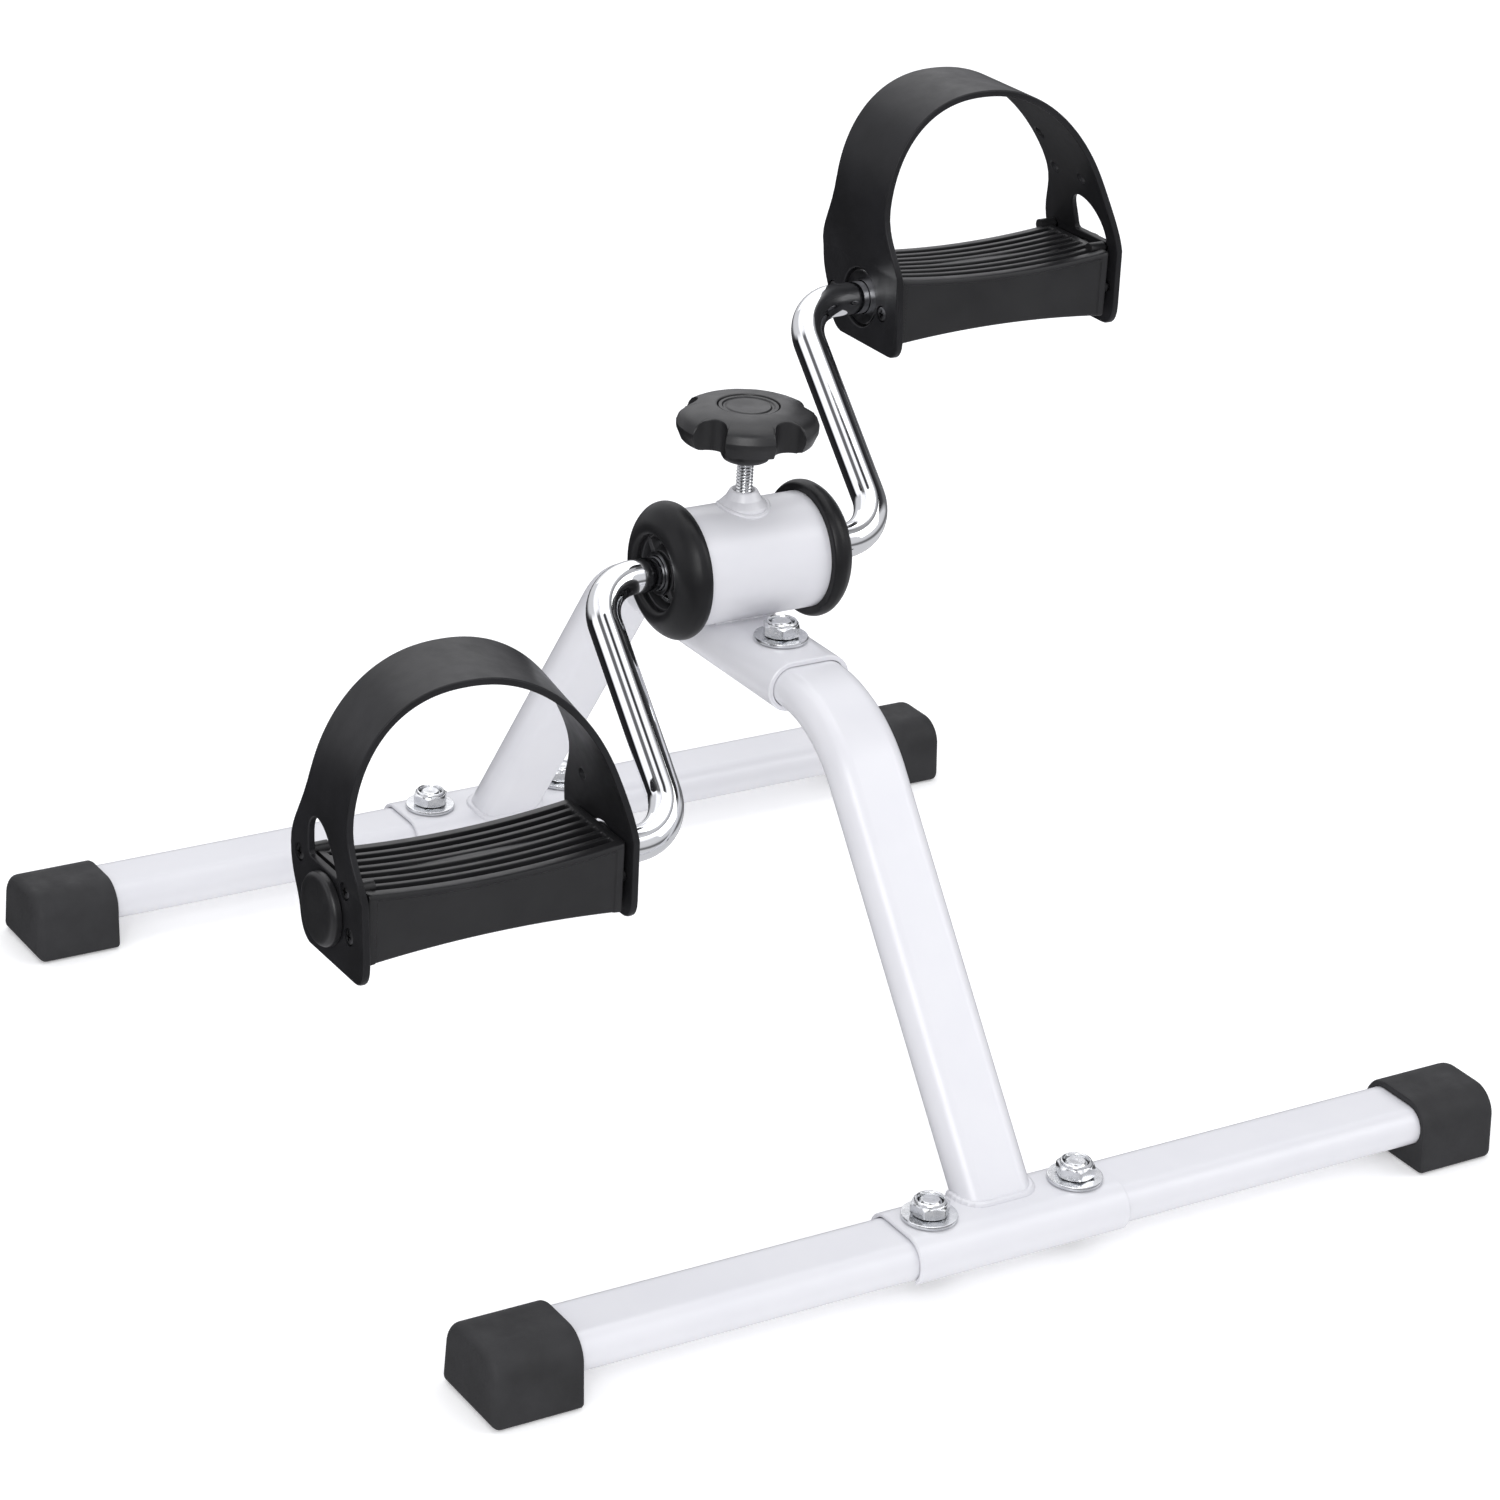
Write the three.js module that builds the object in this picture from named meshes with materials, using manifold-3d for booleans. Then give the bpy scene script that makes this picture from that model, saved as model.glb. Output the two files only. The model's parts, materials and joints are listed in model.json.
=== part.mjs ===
// Pedal exerciser: a bolted tube stand, a crank with two strapped pedals, and a screw-down brake.
// Millimetres. +X along the crank axis to the right, +Y to the rear foot bar, +Z up.
// The origin is on the floor, midway between the foot bars.

import * as THREE from 'three';
import { mergeVertices } from 'three/addons/utils/BufferGeometryUtils.js';
import Module from 'manifold-3d';

const wasm = await Module();
wasm.setup();

// ---- driving dimensions ----

const GAP = 0.25; // left between pieces that touch
const STAND_LENGTH = 420; // over the rubber caps, along X
const BAR_Y = 185; // foot-bar centres, to the front and to the rear
const BAR_Z = 16;

const TUBE_WIDTH = 30; // flat-oval tube of the bars and the legs
const TUBE_HEIGHT = 15;
const TUBE_WALL = 1.5;
const SLEEVE_CLEARANCE = 0.6; // wider than the tube, over both sides

const BOLT_RADIUS = 4; // M8
const BOLT_HOLE_RADIUS = 4.4;
const BOLT_OFFSET = 30.7; // from the leg or from the crank axis to each bolt
const WASHER_RADIUS = 10;
const WASHER_HEIGHT = 1.6;
const NUT_CORNER_RADIUS = 7.2;
const NUT_HEX_HEIGHT = 4.3;
const NUT_COLLAR_RADIUS = 5.9;
const NUT_HEIGHT = 5.6;
const BOLT_HEAD_RADIUS = 8.5;
const BOLT_HEAD_HEIGHT = 4.2;
const BOLT_CHAMFER = 0.8;
const BOLT_RECESS = 0.3; // from the nut's top down to the bolt's end

const STUD_RADIUS = 3.18; // quarter-inch brake screw
const STUD_CLEARANCE = 0.35; // around it in its boss

const CRANK_Y = 8.7; // crank axis
const CRANK_Z = 193.6;
const CRANK_TILT = THREE.MathUtils.degToRad(51.34); // left arm, forwards from straight down
const ARM_LENGTH = 102.3;
const ROD_RADIUS = 6.35;
const ROD_BEND_RADIUS = 18.7;
const ARM_X_AT_BARREL = 62.5;
const ARM_X_AT_PEDAL = 69.7;
const ROD_CLEARANCE = 0.25; // around the rod in its bores

const BARREL_RADIUS = 21.7;
const BARREL_BORE_RADIUS = 20.2;
const BARREL_HALF_LENGTH = 34;
const BOSS_TOP = 221;

const SOCKET_Z = 164; // centre of the leg socket under the barrel
const SOCKET_HALF_LENGTH = 51.2;
const SOCKET_WALL = 1.7;

const PEDAL_INNER = 103.4; // pedal block, distances from the middle of the stand
const PEDAL_OUTER = 201.3;
const PEDAL_HALF_DEPTH = 20.5;
const TREAD_TOP = 12.4; // above the pedal axle, at the block's ends
const SOLE_BOTTOM = -14.4;
const STRAP_INNER = 98.4; // outside faces of the strap's two ends
const STRAP_OUTER = 206.8;
const STRAP_THICKNESS = 2.6;
const STRAP_HEIGHT = 82.6; // above the pedal axle
const STRAP_LEAN = { left: 9, right: 15 }; // how far each arch leans towards -X at its top
const STRAP_TWIST = { left: -0.23, right: 0 }; // the lean's change per mm of Y, at the top
const AXLE_END = 203.2;
const DUST_CAP_RADIUS = 13;

const KNOB_RADIUS = 26;
const KNOB_BOTTOM = 232.8;
const KNOB_TOP = 253.5;
const BRAKE_LIFT = 2.8; // between the brake shoe and the rod at rest

// ---- materials ----

function material(color, roughness, metalness) {
  return new THREE.MeshStandardMaterial({ color, roughness, metalness });
}

const WHITE_PAINT = material(0xe9e8ee, 0.3, 0);
const BLACK_PLASTIC = material(0x2a2a2c, 0.5, 0);
const BLACK_RUBBER = material(0x333335, 0.75, 0);
const CHROME = material(0xd8dadd, 0.08, 1);
const ZINC = material(0xc2c5c8, 0.3, 1);
const BLACK_STEEL = material(0x1c1c1e, 0.4, 1);
const NYLON = material(0x3a3a3c, 0.55, 0);

// ---- solids ----

// Turns a closed geometry into a manifold solid with its faces pointing out.
function solid(geometry) {
  const bare = geometry.clone();
  bare.deleteAttribute('normal');
  bare.deleteAttribute('uv');
  const merged = mergeVertices(bare, 1e-4);
  const position = merged.attributes.position;
  const corners = [0, 1, 2].map(() => new THREE.Vector3());
  const triangles = [];
  let volume = 0;
  for (let i = 0; i < merged.index.count; i += 3) {
    const triangle = [0, 1, 2].map((k) => merged.index.getX(i + k));
    if (new Set(triangle).size === 3) {
      triangle.forEach((vertex, k) => corners[k].fromBufferAttribute(position, vertex));
      volume += corners[0].dot(corners[1].clone().cross(corners[2]));
      triangles.push(triangle);
    }
  }
  const outward = volume > 0 ? triangles : triangles.map(([a, b, c]) => [a, c, b]);
  return new wasm.Manifold(new wasm.Mesh({
    numProp: 3,
    vertProperties: new Float32Array(position.array),
    triVerts: new Uint32Array(outward.flat()),
  }));
}

// Joins solids into one.
function join(...solids) {
  return solids.reduce((whole, piece) => whole.add(piece));
}

// Cuts tools out of a solid.
function cut(whole, ...tools) {
  return tools.reduce((rest, tool) => rest.subtract(tool), whole);
}

// The solid as a three.js geometry.
function geometryOf(whole) {
  const { vertProperties, triVerts } = whole.getMesh();
  const geometry = new THREE.BufferGeometry();
  geometry.setAttribute('position', new THREE.BufferAttribute(vertProperties, 3));
  geometry.setIndex(new THREE.BufferAttribute(triVerts, 1));
  geometry.computeVertexNormals();
  return geometry;
}

// How many flat sides stand for a round surface.
function roundSides(radius) {
  if (radius > 15) return 32;
  if (radius > 5) return 16;
  return radius > 2.5 ? 12 : 8;
}

function extruded(shape, depth, curveSegments) {
  return new THREE.ExtrudeGeometry(shape, { depth, bevelEnabled: false, curveSegments });
}

// A prism along X: the shape's axes are Y and Z.
function prismX(shape, fromX, toX, curveSegments = 3) {
  const turn = new THREE.Matrix4().makeBasis(
    new THREE.Vector3(0, 1, 0), new THREE.Vector3(0, 0, 1), new THREE.Vector3(1, 0, 0),
  );
  return solid(extruded(shape, toX - fromX, curveSegments).applyMatrix4(turn).translate(fromX, 0, 0));
}

// A prism along Y: the shape's axes are X and Z.
function prismY(shape, fromY, toY, curveSegments = 3) {
  return solid(extruded(shape, toY - fromY, curveSegments).rotateX(Math.PI / 2).translate(0, toY, 0));
}

function prismZ(shape, fromZ, toZ, curveSegments = 3) {
  return solid(extruded(shape, toZ - fromZ, curveSegments).translate(0, 0, fromZ));
}

// A turned geometry about the X or Z axis; the profile lists [radius, position along the axis].
function turned(profile, axis, sides) {
  const points = profile.map(([radius, along]) => new THREE.Vector2(radius, along));
  const geometry = new THREE.LatheGeometry(points, sides);
  return axis === 'x' ? geometry.rotateZ(-Math.PI / 2) : geometry.rotateX(Math.PI / 2);
}

function rodProfile(radius, from, to) {
  return [[0, from], [radius, from], [radius, to], [0, to]];
}

function rodX(radius, fromX, toX, y = 0, z = 0) {
  return solid(turned(rodProfile(radius, fromX, toX), 'x', roundSides(radius)).translate(0, y, z));
}

function rodZ(radius, fromZ, toZ, x = 0, y = 0) {
  return solid(turned(rodProfile(radius, fromZ, toZ), 'z', roundSides(radius)).translate(x, y, 0));
}

function ringProfile(inner, outer, from, to) {
  return [[inner, from], [outer, from], [outer, to], [inner, to], [inner, from]];
}

function ringX(inner, outer, fromX, toX) {
  return solid(turned(ringProfile(inner, outer, fromX, toX), 'x', roundSides(outer)));
}

function box(from, to) {
  const size = to.map((high, i) => high - from[i]);
  const middle = to.map((high, i) => (high + from[i]) / 2);
  return solid(new THREE.BoxGeometry(...size).translate(...middle));
}

// ---- outlines ----

// A flat oval: two straight sides and two half-round ends.
function flatOval(width, height, u = 0, v = 0) {
  const radius = height / 2;
  const reach = width / 2 - radius;
  const shape = new THREE.Shape();
  shape.moveTo(u - reach, v - radius);
  shape.lineTo(u + reach, v - radius);
  shape.absarc(u + reach, v, radius, -Math.PI / 2, Math.PI / 2, false);
  shape.lineTo(u - reach, v + radius);
  shape.absarc(u - reach, v, radius, Math.PI / 2, 1.5 * Math.PI, false);
  return shape;
}

function circle(radius) {
  return new THREE.Shape().absarc(0, 0, radius, 0, 2 * Math.PI, false);
}

// Points along an arc about the origin, both ends included.
function arcPoints(radius, from, to, steps) {
  return Array.from({ length: steps + 1 }, (_, i) => {
    const angle = from + ((to - from) * i) / steps;
    return [radius * Math.cos(angle), radius * Math.sin(angle)];
  });
}

function outline(points) {
  return new THREE.Shape(points.map(([u, v]) => new THREE.Vector2(u, v)));
}

const tubeOutside = (u, v) => flatOval(TUBE_WIDTH, TUBE_HEIGHT, u, v);
const tubeInside = (u, v) => flatOval(TUBE_WIDTH - 2 * TUBE_WALL, TUBE_HEIGHT - 2 * TUBE_WALL, u, v);
const sleeveInside = (u, v) => flatOval(TUBE_WIDTH + SLEEVE_CLEARANCE, TUBE_HEIGHT + SLEEVE_CLEARANCE, u, v);

// ---- bent tubes and rods ----

// Straight runs joined by round bends, sampled only where the direction changes.
class BentRoute extends THREE.Curve {
  constructor(corners, bendRadius, stepsPerBend) {
    super();
    const last = corners.length - 1;
    const direction = (i) => corners[i + 1].clone().sub(corners[i]).normalize();
    this.stations = [{ point: corners[0], tangent: direction(0) }];
    for (let i = 1; i < last; i += 1) {
      const before = direction(i - 1);
      const after = direction(i);
      const angle = before.angleTo(after);
      const toCentre = after.clone().sub(before).normalize();
      const centre = corners[i].clone().addScaledVector(toCentre, bendRadius / Math.cos(angle / 2));
      const normal = before.clone().cross(after).normalize();
      const start = corners[i].clone().addScaledVector(before, -bendRadius * Math.tan(angle / 2));
      for (let k = 0; k <= stepsPerBend; k += 1) {
        const turn = (angle * k) / stepsPerBend;
        this.stations.push({
          point: start.clone().sub(centre).applyAxisAngle(normal, turn).add(centre),
          tangent: before.clone().applyAxisAngle(normal, turn),
        });
      }
    }
    this.stations.push({ point: corners[last], tangent: direction(last - 1) });
  }

  get steps() {
    return this.stations.length - 1;
  }

  station(u) {
    return this.stations[Math.round(u * this.steps)];
  }

  getPointAt(u) {
    return this.station(u).point.clone();
  }

  getTangentAt(u) {
    return this.station(u).tangent.clone();
  }
}

function alongRoute(shape, route, curveSegments = 3) {
  return solid(new THREE.ExtrudeGeometry(shape, { extrudePath: route, steps: route.steps, curveSegments }));
}

// ---- scene graph ----

const group = new THREE.Group();

function add(name, shape, colour, parent = group) {
  const geometry = shape.isBufferGeometry ? shape : geometryOf(shape);
  const mesh = new THREE.Mesh(geometry, colour);
  mesh.name = name;
  parent.add(mesh);
  return mesh;
}

const SIDES = [['left', -1], ['right', 1]];
const ENDS = [['front', -1], ['rear', 1]];

// ---- foot bars, caps and their fasteners ----

const CAP_INNER = 176; // where the cap's inner face is, from the middle
const CAP_HALF_WIDTH = 18.5;
const CAP_HEIGHT = 26.5;
const CAP_SHOULDER = 11; // radius of the cap's long top edges
const CAP_FLAT = 6.4; // half of the flat top
const CAP_END_WALL = 3.6;
const BAR_HALF_LENGTH = STAND_LENGTH / 2 - CAP_END_WALL - 0.4;

function footBar(y) {
  const holes = [-BOLT_OFFSET, BOLT_OFFSET].map((x) => rodZ(BOLT_HOLE_RADIUS, 0, 2 * BAR_Z, x, y));
  return cut(
    prismX(tubeOutside(y, BAR_Z), -BAR_HALF_LENGTH, BAR_HALF_LENGTH),
    prismX(tubeInside(y, BAR_Z), -BAR_HALF_LENGTH - 1, BAR_HALF_LENGTH + 1),
    ...holes,
  );
}

function footCap() {
  const shoulderZ = CAP_HEIGHT - CAP_SHOULDER;
  const shape = new THREE.Shape();
  shape.moveTo(-CAP_HALF_WIDTH, 0);
  shape.lineTo(CAP_HALF_WIDTH, 0);
  shape.lineTo(CAP_FLAT + CAP_SHOULDER, shoulderZ);
  shape.absarc(CAP_FLAT, shoulderZ, CAP_SHOULDER, 0, Math.PI / 2, false);
  shape.absarc(-CAP_FLAT, shoulderZ, CAP_SHOULDER, Math.PI / 2, Math.PI, false);
  return cut(
    prismX(shape, CAP_INNER, STAND_LENGTH / 2),
    prismX(sleeveInside(0, BAR_Z), CAP_INNER - 1, STAND_LENGTH / 2 - CAP_END_WALL),
  );
}

// A round-headed bolt, pushed up from below; its head's flat side is at 0.
function boltFromBelow(length) {
  return turned([
    [0, -BOLT_HEAD_HEIGHT],
    [BOLT_HEAD_RADIUS * 0.7, -BOLT_HEAD_HEIGHT * 0.8],
    [BOLT_HEAD_RADIUS, 0],
    [BOLT_RADIUS, 0],
    [BOLT_RADIUS, length - BOLT_CHAMFER],
    [BOLT_RADIUS - BOLT_CHAMFER, length],
    [0, length],
  ], 'z', roundSides(BOLT_RADIUS));
}

function washer() {
  const profile = ringProfile(BOLT_HOLE_RADIUS, WASHER_RADIUS, 0, WASHER_HEIGHT);
  return turned(profile, 'z', roundSides(WASHER_RADIUS));
}

// A hexagon nut with a plain locking collar on top.
function lockNut() {
  const hexagon = outline(arcPoints(NUT_CORNER_RADIUS, 0, 2 * Math.PI, 6).slice(0, 6));
  return cut(
    join(prismZ(hexagon, 0, NUT_HEX_HEIGHT), rodZ(NUT_COLLAR_RADIUS, NUT_HEX_HEIGHT / 2, NUT_HEIGHT)),
    rodZ(BOLT_HOLE_RADIUS, -1, NUT_HEIGHT + 1),
  );
}

// One bolt through a joint, with its washer and nut, at (x, y).
function addFastener(names, x, y, bottomZ, topZ) {
  const washerZ = topZ + GAP;
  const nutZ = washerZ + WASHER_HEIGHT + GAP;
  const headZ = bottomZ - GAP;
  const endZ = nutZ + NUT_HEIGHT - BOLT_RECESS;
  add(names.bolt, solid(boltFromBelow(endZ - headZ)), ZINC).position.set(x, y, headZ);
  add(names.washer, solid(washer()), ZINC).position.set(x, y, washerZ);
  add(names.nut, lockNut(), ZINC).position.set(x, y, nutZ);
}

const SADDLE_HALF_LENGTH = 44;
const SADDLE_WALL = 1.5;
const SADDLE_BOTTOM = 10;
const SADDLE_TOP = BAR_Z + (TUBE_HEIGHT + SLEEVE_CLEARANCE) / 2 + SADDLE_WALL;
const BAR_BOTTOM = BAR_Z - TUBE_HEIGHT / 2;

ENDS.forEach(([end, sideY]) => {
  add(`${end}_foot_bar`, footBar(sideY * BAR_Y), WHITE_PAINT);
  SIDES.forEach(([side, sideX]) => {
    const cap = add(`foot_cap_${end}_${side}`, footCap(), BLACK_RUBBER);
    cap.position.y = sideY * BAR_Y;
    cap.rotation.z = sideX > 0 ? 0 : Math.PI;
    const place = `${end}_${side}`;
    const names = { bolt: `foot_bolt_${place}`, washer: `foot_washer_${place}`, nut: `foot_nut_${place}` };
    addFastener(names, sideX * BOLT_OFFSET, sideY * BAR_Y, BAR_BOTTOM, SADDLE_TOP);
  });
});

// ---- legs ----

// A bent leg tube with a saddle welded to its foot; y runs from the saddle to the barrel.
function leg(sideY, footY, bendY, bendRadius) {
  const barY = sideY * BAR_Y;
  const topY = CRANK_Y + sideY * 1.5;
  const foot = new THREE.Vector3(0, footY, SADDLE_TOP);
  const bend = new THREE.Vector3(0, bendY, SOCKET_Z);
  const below = foot.clone().sub(bend).normalize().multiplyScalar(20).add(foot);
  const outside = new BentRoute([below, bend, new THREE.Vector3(0, topY, SOCKET_Z)], bendRadius, 4);
  const inside = new BentRoute([below, bend, new THREE.Vector3(0, topY - sideY, SOCKET_Z)], bendRadius, 4);
  const skinZ = SADDLE_TOP - SADDLE_WALL / 2;
  const underFoot = (z) => box([-40, footY - 60, -20], [40, footY + 60, z]);
  const tube = cut(alongRoute(tubeOutside(0, 0), outside), underFoot(skinZ));
  const hollow = cut(alongRoute(tubeInside(0, 0), inside), underFoot(SADDLE_TOP));
  const thickness = SLEEVE_CLEARANCE + 2 * SADDLE_WALL;
  const saddleOutside = flatOval(TUBE_WIDTH + thickness, TUBE_HEIGHT + thickness, barY, BAR_Z);
  const saddle = cut(
    prismX(saddleOutside, -SADDLE_HALF_LENGTH, SADDLE_HALF_LENGTH),
    prismX(sleeveInside(barY, BAR_Z), -SADDLE_HALF_LENGTH - 1, SADDLE_HALF_LENGTH + 1),
    box([-60, barY - 30, 0], [60, barY + 30, SADDLE_BOTTOM]),
  );
  const footHoles = [-BOLT_OFFSET, BOLT_OFFSET].map((x) => rodZ(BOLT_HOLE_RADIUS, 15, 30, x, barY));
  const socketHole = rodZ(BOLT_HOLE_RADIUS, SOCKET_Z - 12, SOCKET_Z + 12, 0, CRANK_Y + sideY * BOLT_OFFSET);
  return cut(join(tube, saddle), hollow, socketHole, ...footHoles);
}

add('front_leg', leg(-1, -177, -68, 52), WHITE_PAINT);
add('rear_leg', leg(1, 177, 82, 41), WHITE_PAINT);

// ---- crank housing: barrel, leg socket and brake boss, welded together ----

const SOCKET_WIDTH = TUBE_WIDTH + SLEEVE_CLEARANCE + 2 * SOCKET_WALL;
const SOCKET_HEIGHT = TUBE_HEIGHT + SLEEVE_CLEARANCE + 2 * SOCKET_WALL;

function housing() {
  const barrel = rodX(BARREL_RADIUS, -BARREL_HALF_LENGTH, BARREL_HALF_LENGTH, CRANK_Y, CRANK_Z);
  const front = CRANK_Y - SOCKET_HALF_LENGTH;
  const rear = CRANK_Y + SOCKET_HALF_LENGTH;
  const socket = prismY(flatOval(SOCKET_WIDTH, SOCKET_HEIGHT, 0, SOCKET_Z), front, rear);
  const socketHollow = prismY(sleeveInside(0, SOCKET_Z), front - 1, rear + 1);
  const boss = solid(turned([
    [0, CRANK_Z + 10], [8.8, CRANK_Z + 10], [8.8, BOSS_TOP - 5.4], [7.8, BOSS_TOP - 4.6],
    [6.7, BOSS_TOP - 3.4], [5.2, BOSS_TOP - 0.5], [4.8, BOSS_TOP], [0, BOSS_TOP],
  ], 'z', 20).translate(0, CRANK_Y, 0));
  const bore = rodX(BARREL_BORE_RADIUS, -BARREL_HALF_LENGTH - 1, BARREL_HALF_LENGTH + 1, CRANK_Y, CRANK_Z);
  const studHole = rodZ(STUD_RADIUS + STUD_CLEARANCE, CRANK_Z + 5, BOSS_TOP + 1, 0, CRANK_Y);
  const boltHoles = [-1, 1].map((sideY) => rodZ(
    BOLT_HOLE_RADIUS, SOCKET_Z - 12, SOCKET_Z + 12, 0, CRANK_Y + sideY * BOLT_OFFSET,
  ));
  return cut(join(barrel, socket, boss), bore, socketHollow, studHole, ...boltHoles);
}

add('housing', housing(), WHITE_PAINT);

ENDS.forEach(([end, sideY]) => {
  const names = { bolt: `socket_bolt_${end}`, washer: `socket_washer_${end}`, nut: `socket_nut_${end}` };
  const top = SOCKET_Z + SOCKET_HEIGHT / 2;
  addFastener(names, 0, CRANK_Y + sideY * BOLT_OFFSET, SOCKET_Z - SOCKET_HEIGHT / 2, top);
});

// ---- barrel end caps and bearings, shown for the right side and turned round for the left ----

const BEARING_FACE = BARREL_HALF_LENGTH - 0.4;
const BEARING_LENGTH = 9;
const CAP_OPENING_RADIUS = 14;
const CLIP_RADIUS = 8.2;
const CLIP_THICKNESS = 1.4;

// A soft ring pushed over the barrel's end, with a rounded outside and a round opening for the rod.
const CAP_MOUTH_X = 25.9;

function endCap() {
  const fit = BARREL_RADIUS + GAP;
  const seat = BARREL_HALF_LENGTH + GAP;
  const profile = [
    [fit, CAP_MOUTH_X], [24.7, CAP_MOUTH_X + 0.5], [25.6, 28.6], [25, 31], [22.8, 34], [19.4, 36.4],
    [16, 37.2], [14.3, 36.5], [CAP_OPENING_RADIUS, seat], [fit, seat], [fit, CAP_MOUTH_X],
  ];
  return solid(turned(profile, 'x', 32));
}

// A spoked nylon bearing: a hub on the rod, four webs and a rim in the barrel.
function bearing() {
  const spokes = 4;
  const hub = 8.4;
  const windowTop = 13.4;
  const halfWeb = 1.3;
  const rim = circle(BARREL_BORE_RADIUS - GAP);
  rim.holes.push(circle(ROD_RADIUS + ROD_CLEARANCE));
  for (let i = 0; i < spokes; i += 1) {
    const start = (2 * Math.PI * (i + 0.5)) / spokes;
    const end = (2 * Math.PI * (i + 1.5)) / spokes;
    rim.holes.push(outline([
      ...arcPoints(windowTop, start + halfWeb / windowTop, end - halfWeb / windowTop, 5),
      ...arcPoints(hub, end - halfWeb / hub, start + halfWeb / hub, 4),
    ]));
  }
  return prismX(rim, BEARING_FACE - BEARING_LENGTH, BEARING_FACE, 8);
}

const crankFrame = new THREE.Group();
crankFrame.position.set(0, CRANK_Y, CRANK_Z);
group.add(crankFrame);

SIDES.forEach(([side, sideX]) => {
  const turn = sideX > 0 ? 0 : Math.PI;
  add(`end_cap_${side}`, endCap(), BLACK_RUBBER, crankFrame).rotation.z = turn;
  add(`bearing_${side}`, bearing(), NYLON, crankFrame).rotation.z = turn;
  const clip = ringX(
    ROD_RADIUS + ROD_CLEARANCE, CLIP_RADIUS, BARREL_HALF_LENGTH, BARREL_HALF_LENGTH + CLIP_THICKNESS,
  );
  add(`shaft_clip_${side}`, clip, BLACK_STEEL, crankFrame).rotation.z = turn;
});

// ---- crank rod: one round bar bent into two arms and two pedal axles ----

function crankRod() {
  const corner = (x, z) => new THREE.Vector3(x, 0, z);
  const route = new BentRoute([
    corner(-AXLE_END, -ARM_LENGTH), corner(-ARM_X_AT_PEDAL, -ARM_LENGTH), corner(-ARM_X_AT_BARREL, 0),
    corner(ARM_X_AT_BARREL, 0), corner(ARM_X_AT_PEDAL, ARM_LENGTH), corner(AXLE_END, ARM_LENGTH),
  ], ROD_BEND_RADIUS, 5);
  return alongRoute(circle(ROD_RADIUS), route, 7);
}

add('crank_rod', crankRod(), CHROME, crankFrame).rotation.x = -CRANK_TILT;

// ---- brake: a shoe pressed on the rod by a threaded stud and a lobed knob ----

const SHOE_TOP = CRANK_Z + 15.4;
const SHOE_HALF_LENGTH = 9;
const SHOE_HALF_WIDTH = 6;

function brakeShoe() {
  const restingZ = CRANK_Z + BRAKE_LIFT;
  const saddle = rodX(ROD_RADIUS + 0.3, -SHOE_HALF_LENGTH - 1, SHOE_HALF_LENGTH + 1, CRANK_Y, restingZ);
  const block = box(
    [-SHOE_HALF_LENGTH, CRANK_Y - SHOE_HALF_WIDTH, restingZ + 3],
    [SHOE_HALF_LENGTH, CRANK_Y + SHOE_HALF_WIDTH, SHOE_TOP],
  );
  return cut(block, saddle);
}

const KNOB_LOBES = 5;
const KNOB_LOBE_ANGLE = THREE.MathUtils.degToRad(-118.5); // where one lobe points at rest
const KNOB_DISC_BOTTOM = KNOB_TOP - 13;
const FLUTE_RADIUS = 6.8; // scoops between the lobes
const FLUTE_REACH = 26.3;
const KNOB_COVER_RADIUS = 11.5;
const KNOB_COVER_DEPTH = 1.8;
const STUD_TOP = KNOB_TOP - 4;

// A domed disc on a conical hub, with scoops between its lobes.
function knob() {
  const disc = solid(turned([
    [0, KNOB_DISC_BOTTOM], [KNOB_RADIUS - 2.2, KNOB_DISC_BOTTOM], [KNOB_RADIUS - 0.5, KNOB_TOP - 11],
    [KNOB_RADIUS, KNOB_TOP - 7.4], [KNOB_RADIUS - 0.6, KNOB_TOP - 4.8], [KNOB_RADIUS - 2.6, KNOB_TOP - 2.6],
    [KNOB_RADIUS - 6.2, KNOB_TOP - 1], [KNOB_RADIUS - 12, KNOB_TOP], [0, KNOB_TOP],
  ], 'z', 40));
  const hub = solid(turned([
    [0, KNOB_BOTTOM], [8.2, KNOB_BOTTOM], [9.2, KNOB_BOTTOM + 1.6], [10.4, KNOB_DISC_BOTTOM + 1],
    [0, KNOB_DISC_BOTTOM + 1],
  ], 'z', 20));
  const flutes = arcPoints(FLUTE_REACH, Math.PI / KNOB_LOBES, 2 * Math.PI + Math.PI / KNOB_LOBES, KNOB_LOBES)
    .slice(1)
    .map(([x, y]) => rodZ(FLUTE_RADIUS, KNOB_DISC_BOTTOM - 1, KNOB_TOP + 1, x, y));
  return cut(
    join(hub, cut(disc, ...flutes)),
    rodZ(STUD_RADIUS + GAP, KNOB_BOTTOM - 1, STUD_TOP + GAP),
    rodZ(KNOB_COVER_RADIUS, KNOB_TOP - KNOB_COVER_DEPTH, KNOB_TOP + 1),
  );
}

add('brake_shoe', brakeShoe(), NYLON);
add('adjuster_stud', rodZ(STUD_RADIUS, SHOE_TOP + GAP, STUD_TOP, 0, CRANK_Y), ZINC);
const knobCover = rodZ(KNOB_COVER_RADIUS - GAP, KNOB_TOP - KNOB_COVER_DEPTH + GAP, KNOB_TOP - 0.4);
[['knob', knob()], ['knob_cover', knobCover]].forEach(([name, shape]) => {
  const mesh = add(name, shape, BLACK_PLASTIC);
  mesh.position.y = CRANK_Y;
  mesh.rotation.z = KNOB_LOBE_ANGLE;
});

// ---- pedals, drawn in their own frame: x from the middle of the stand, y and z from the axle ----

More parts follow.
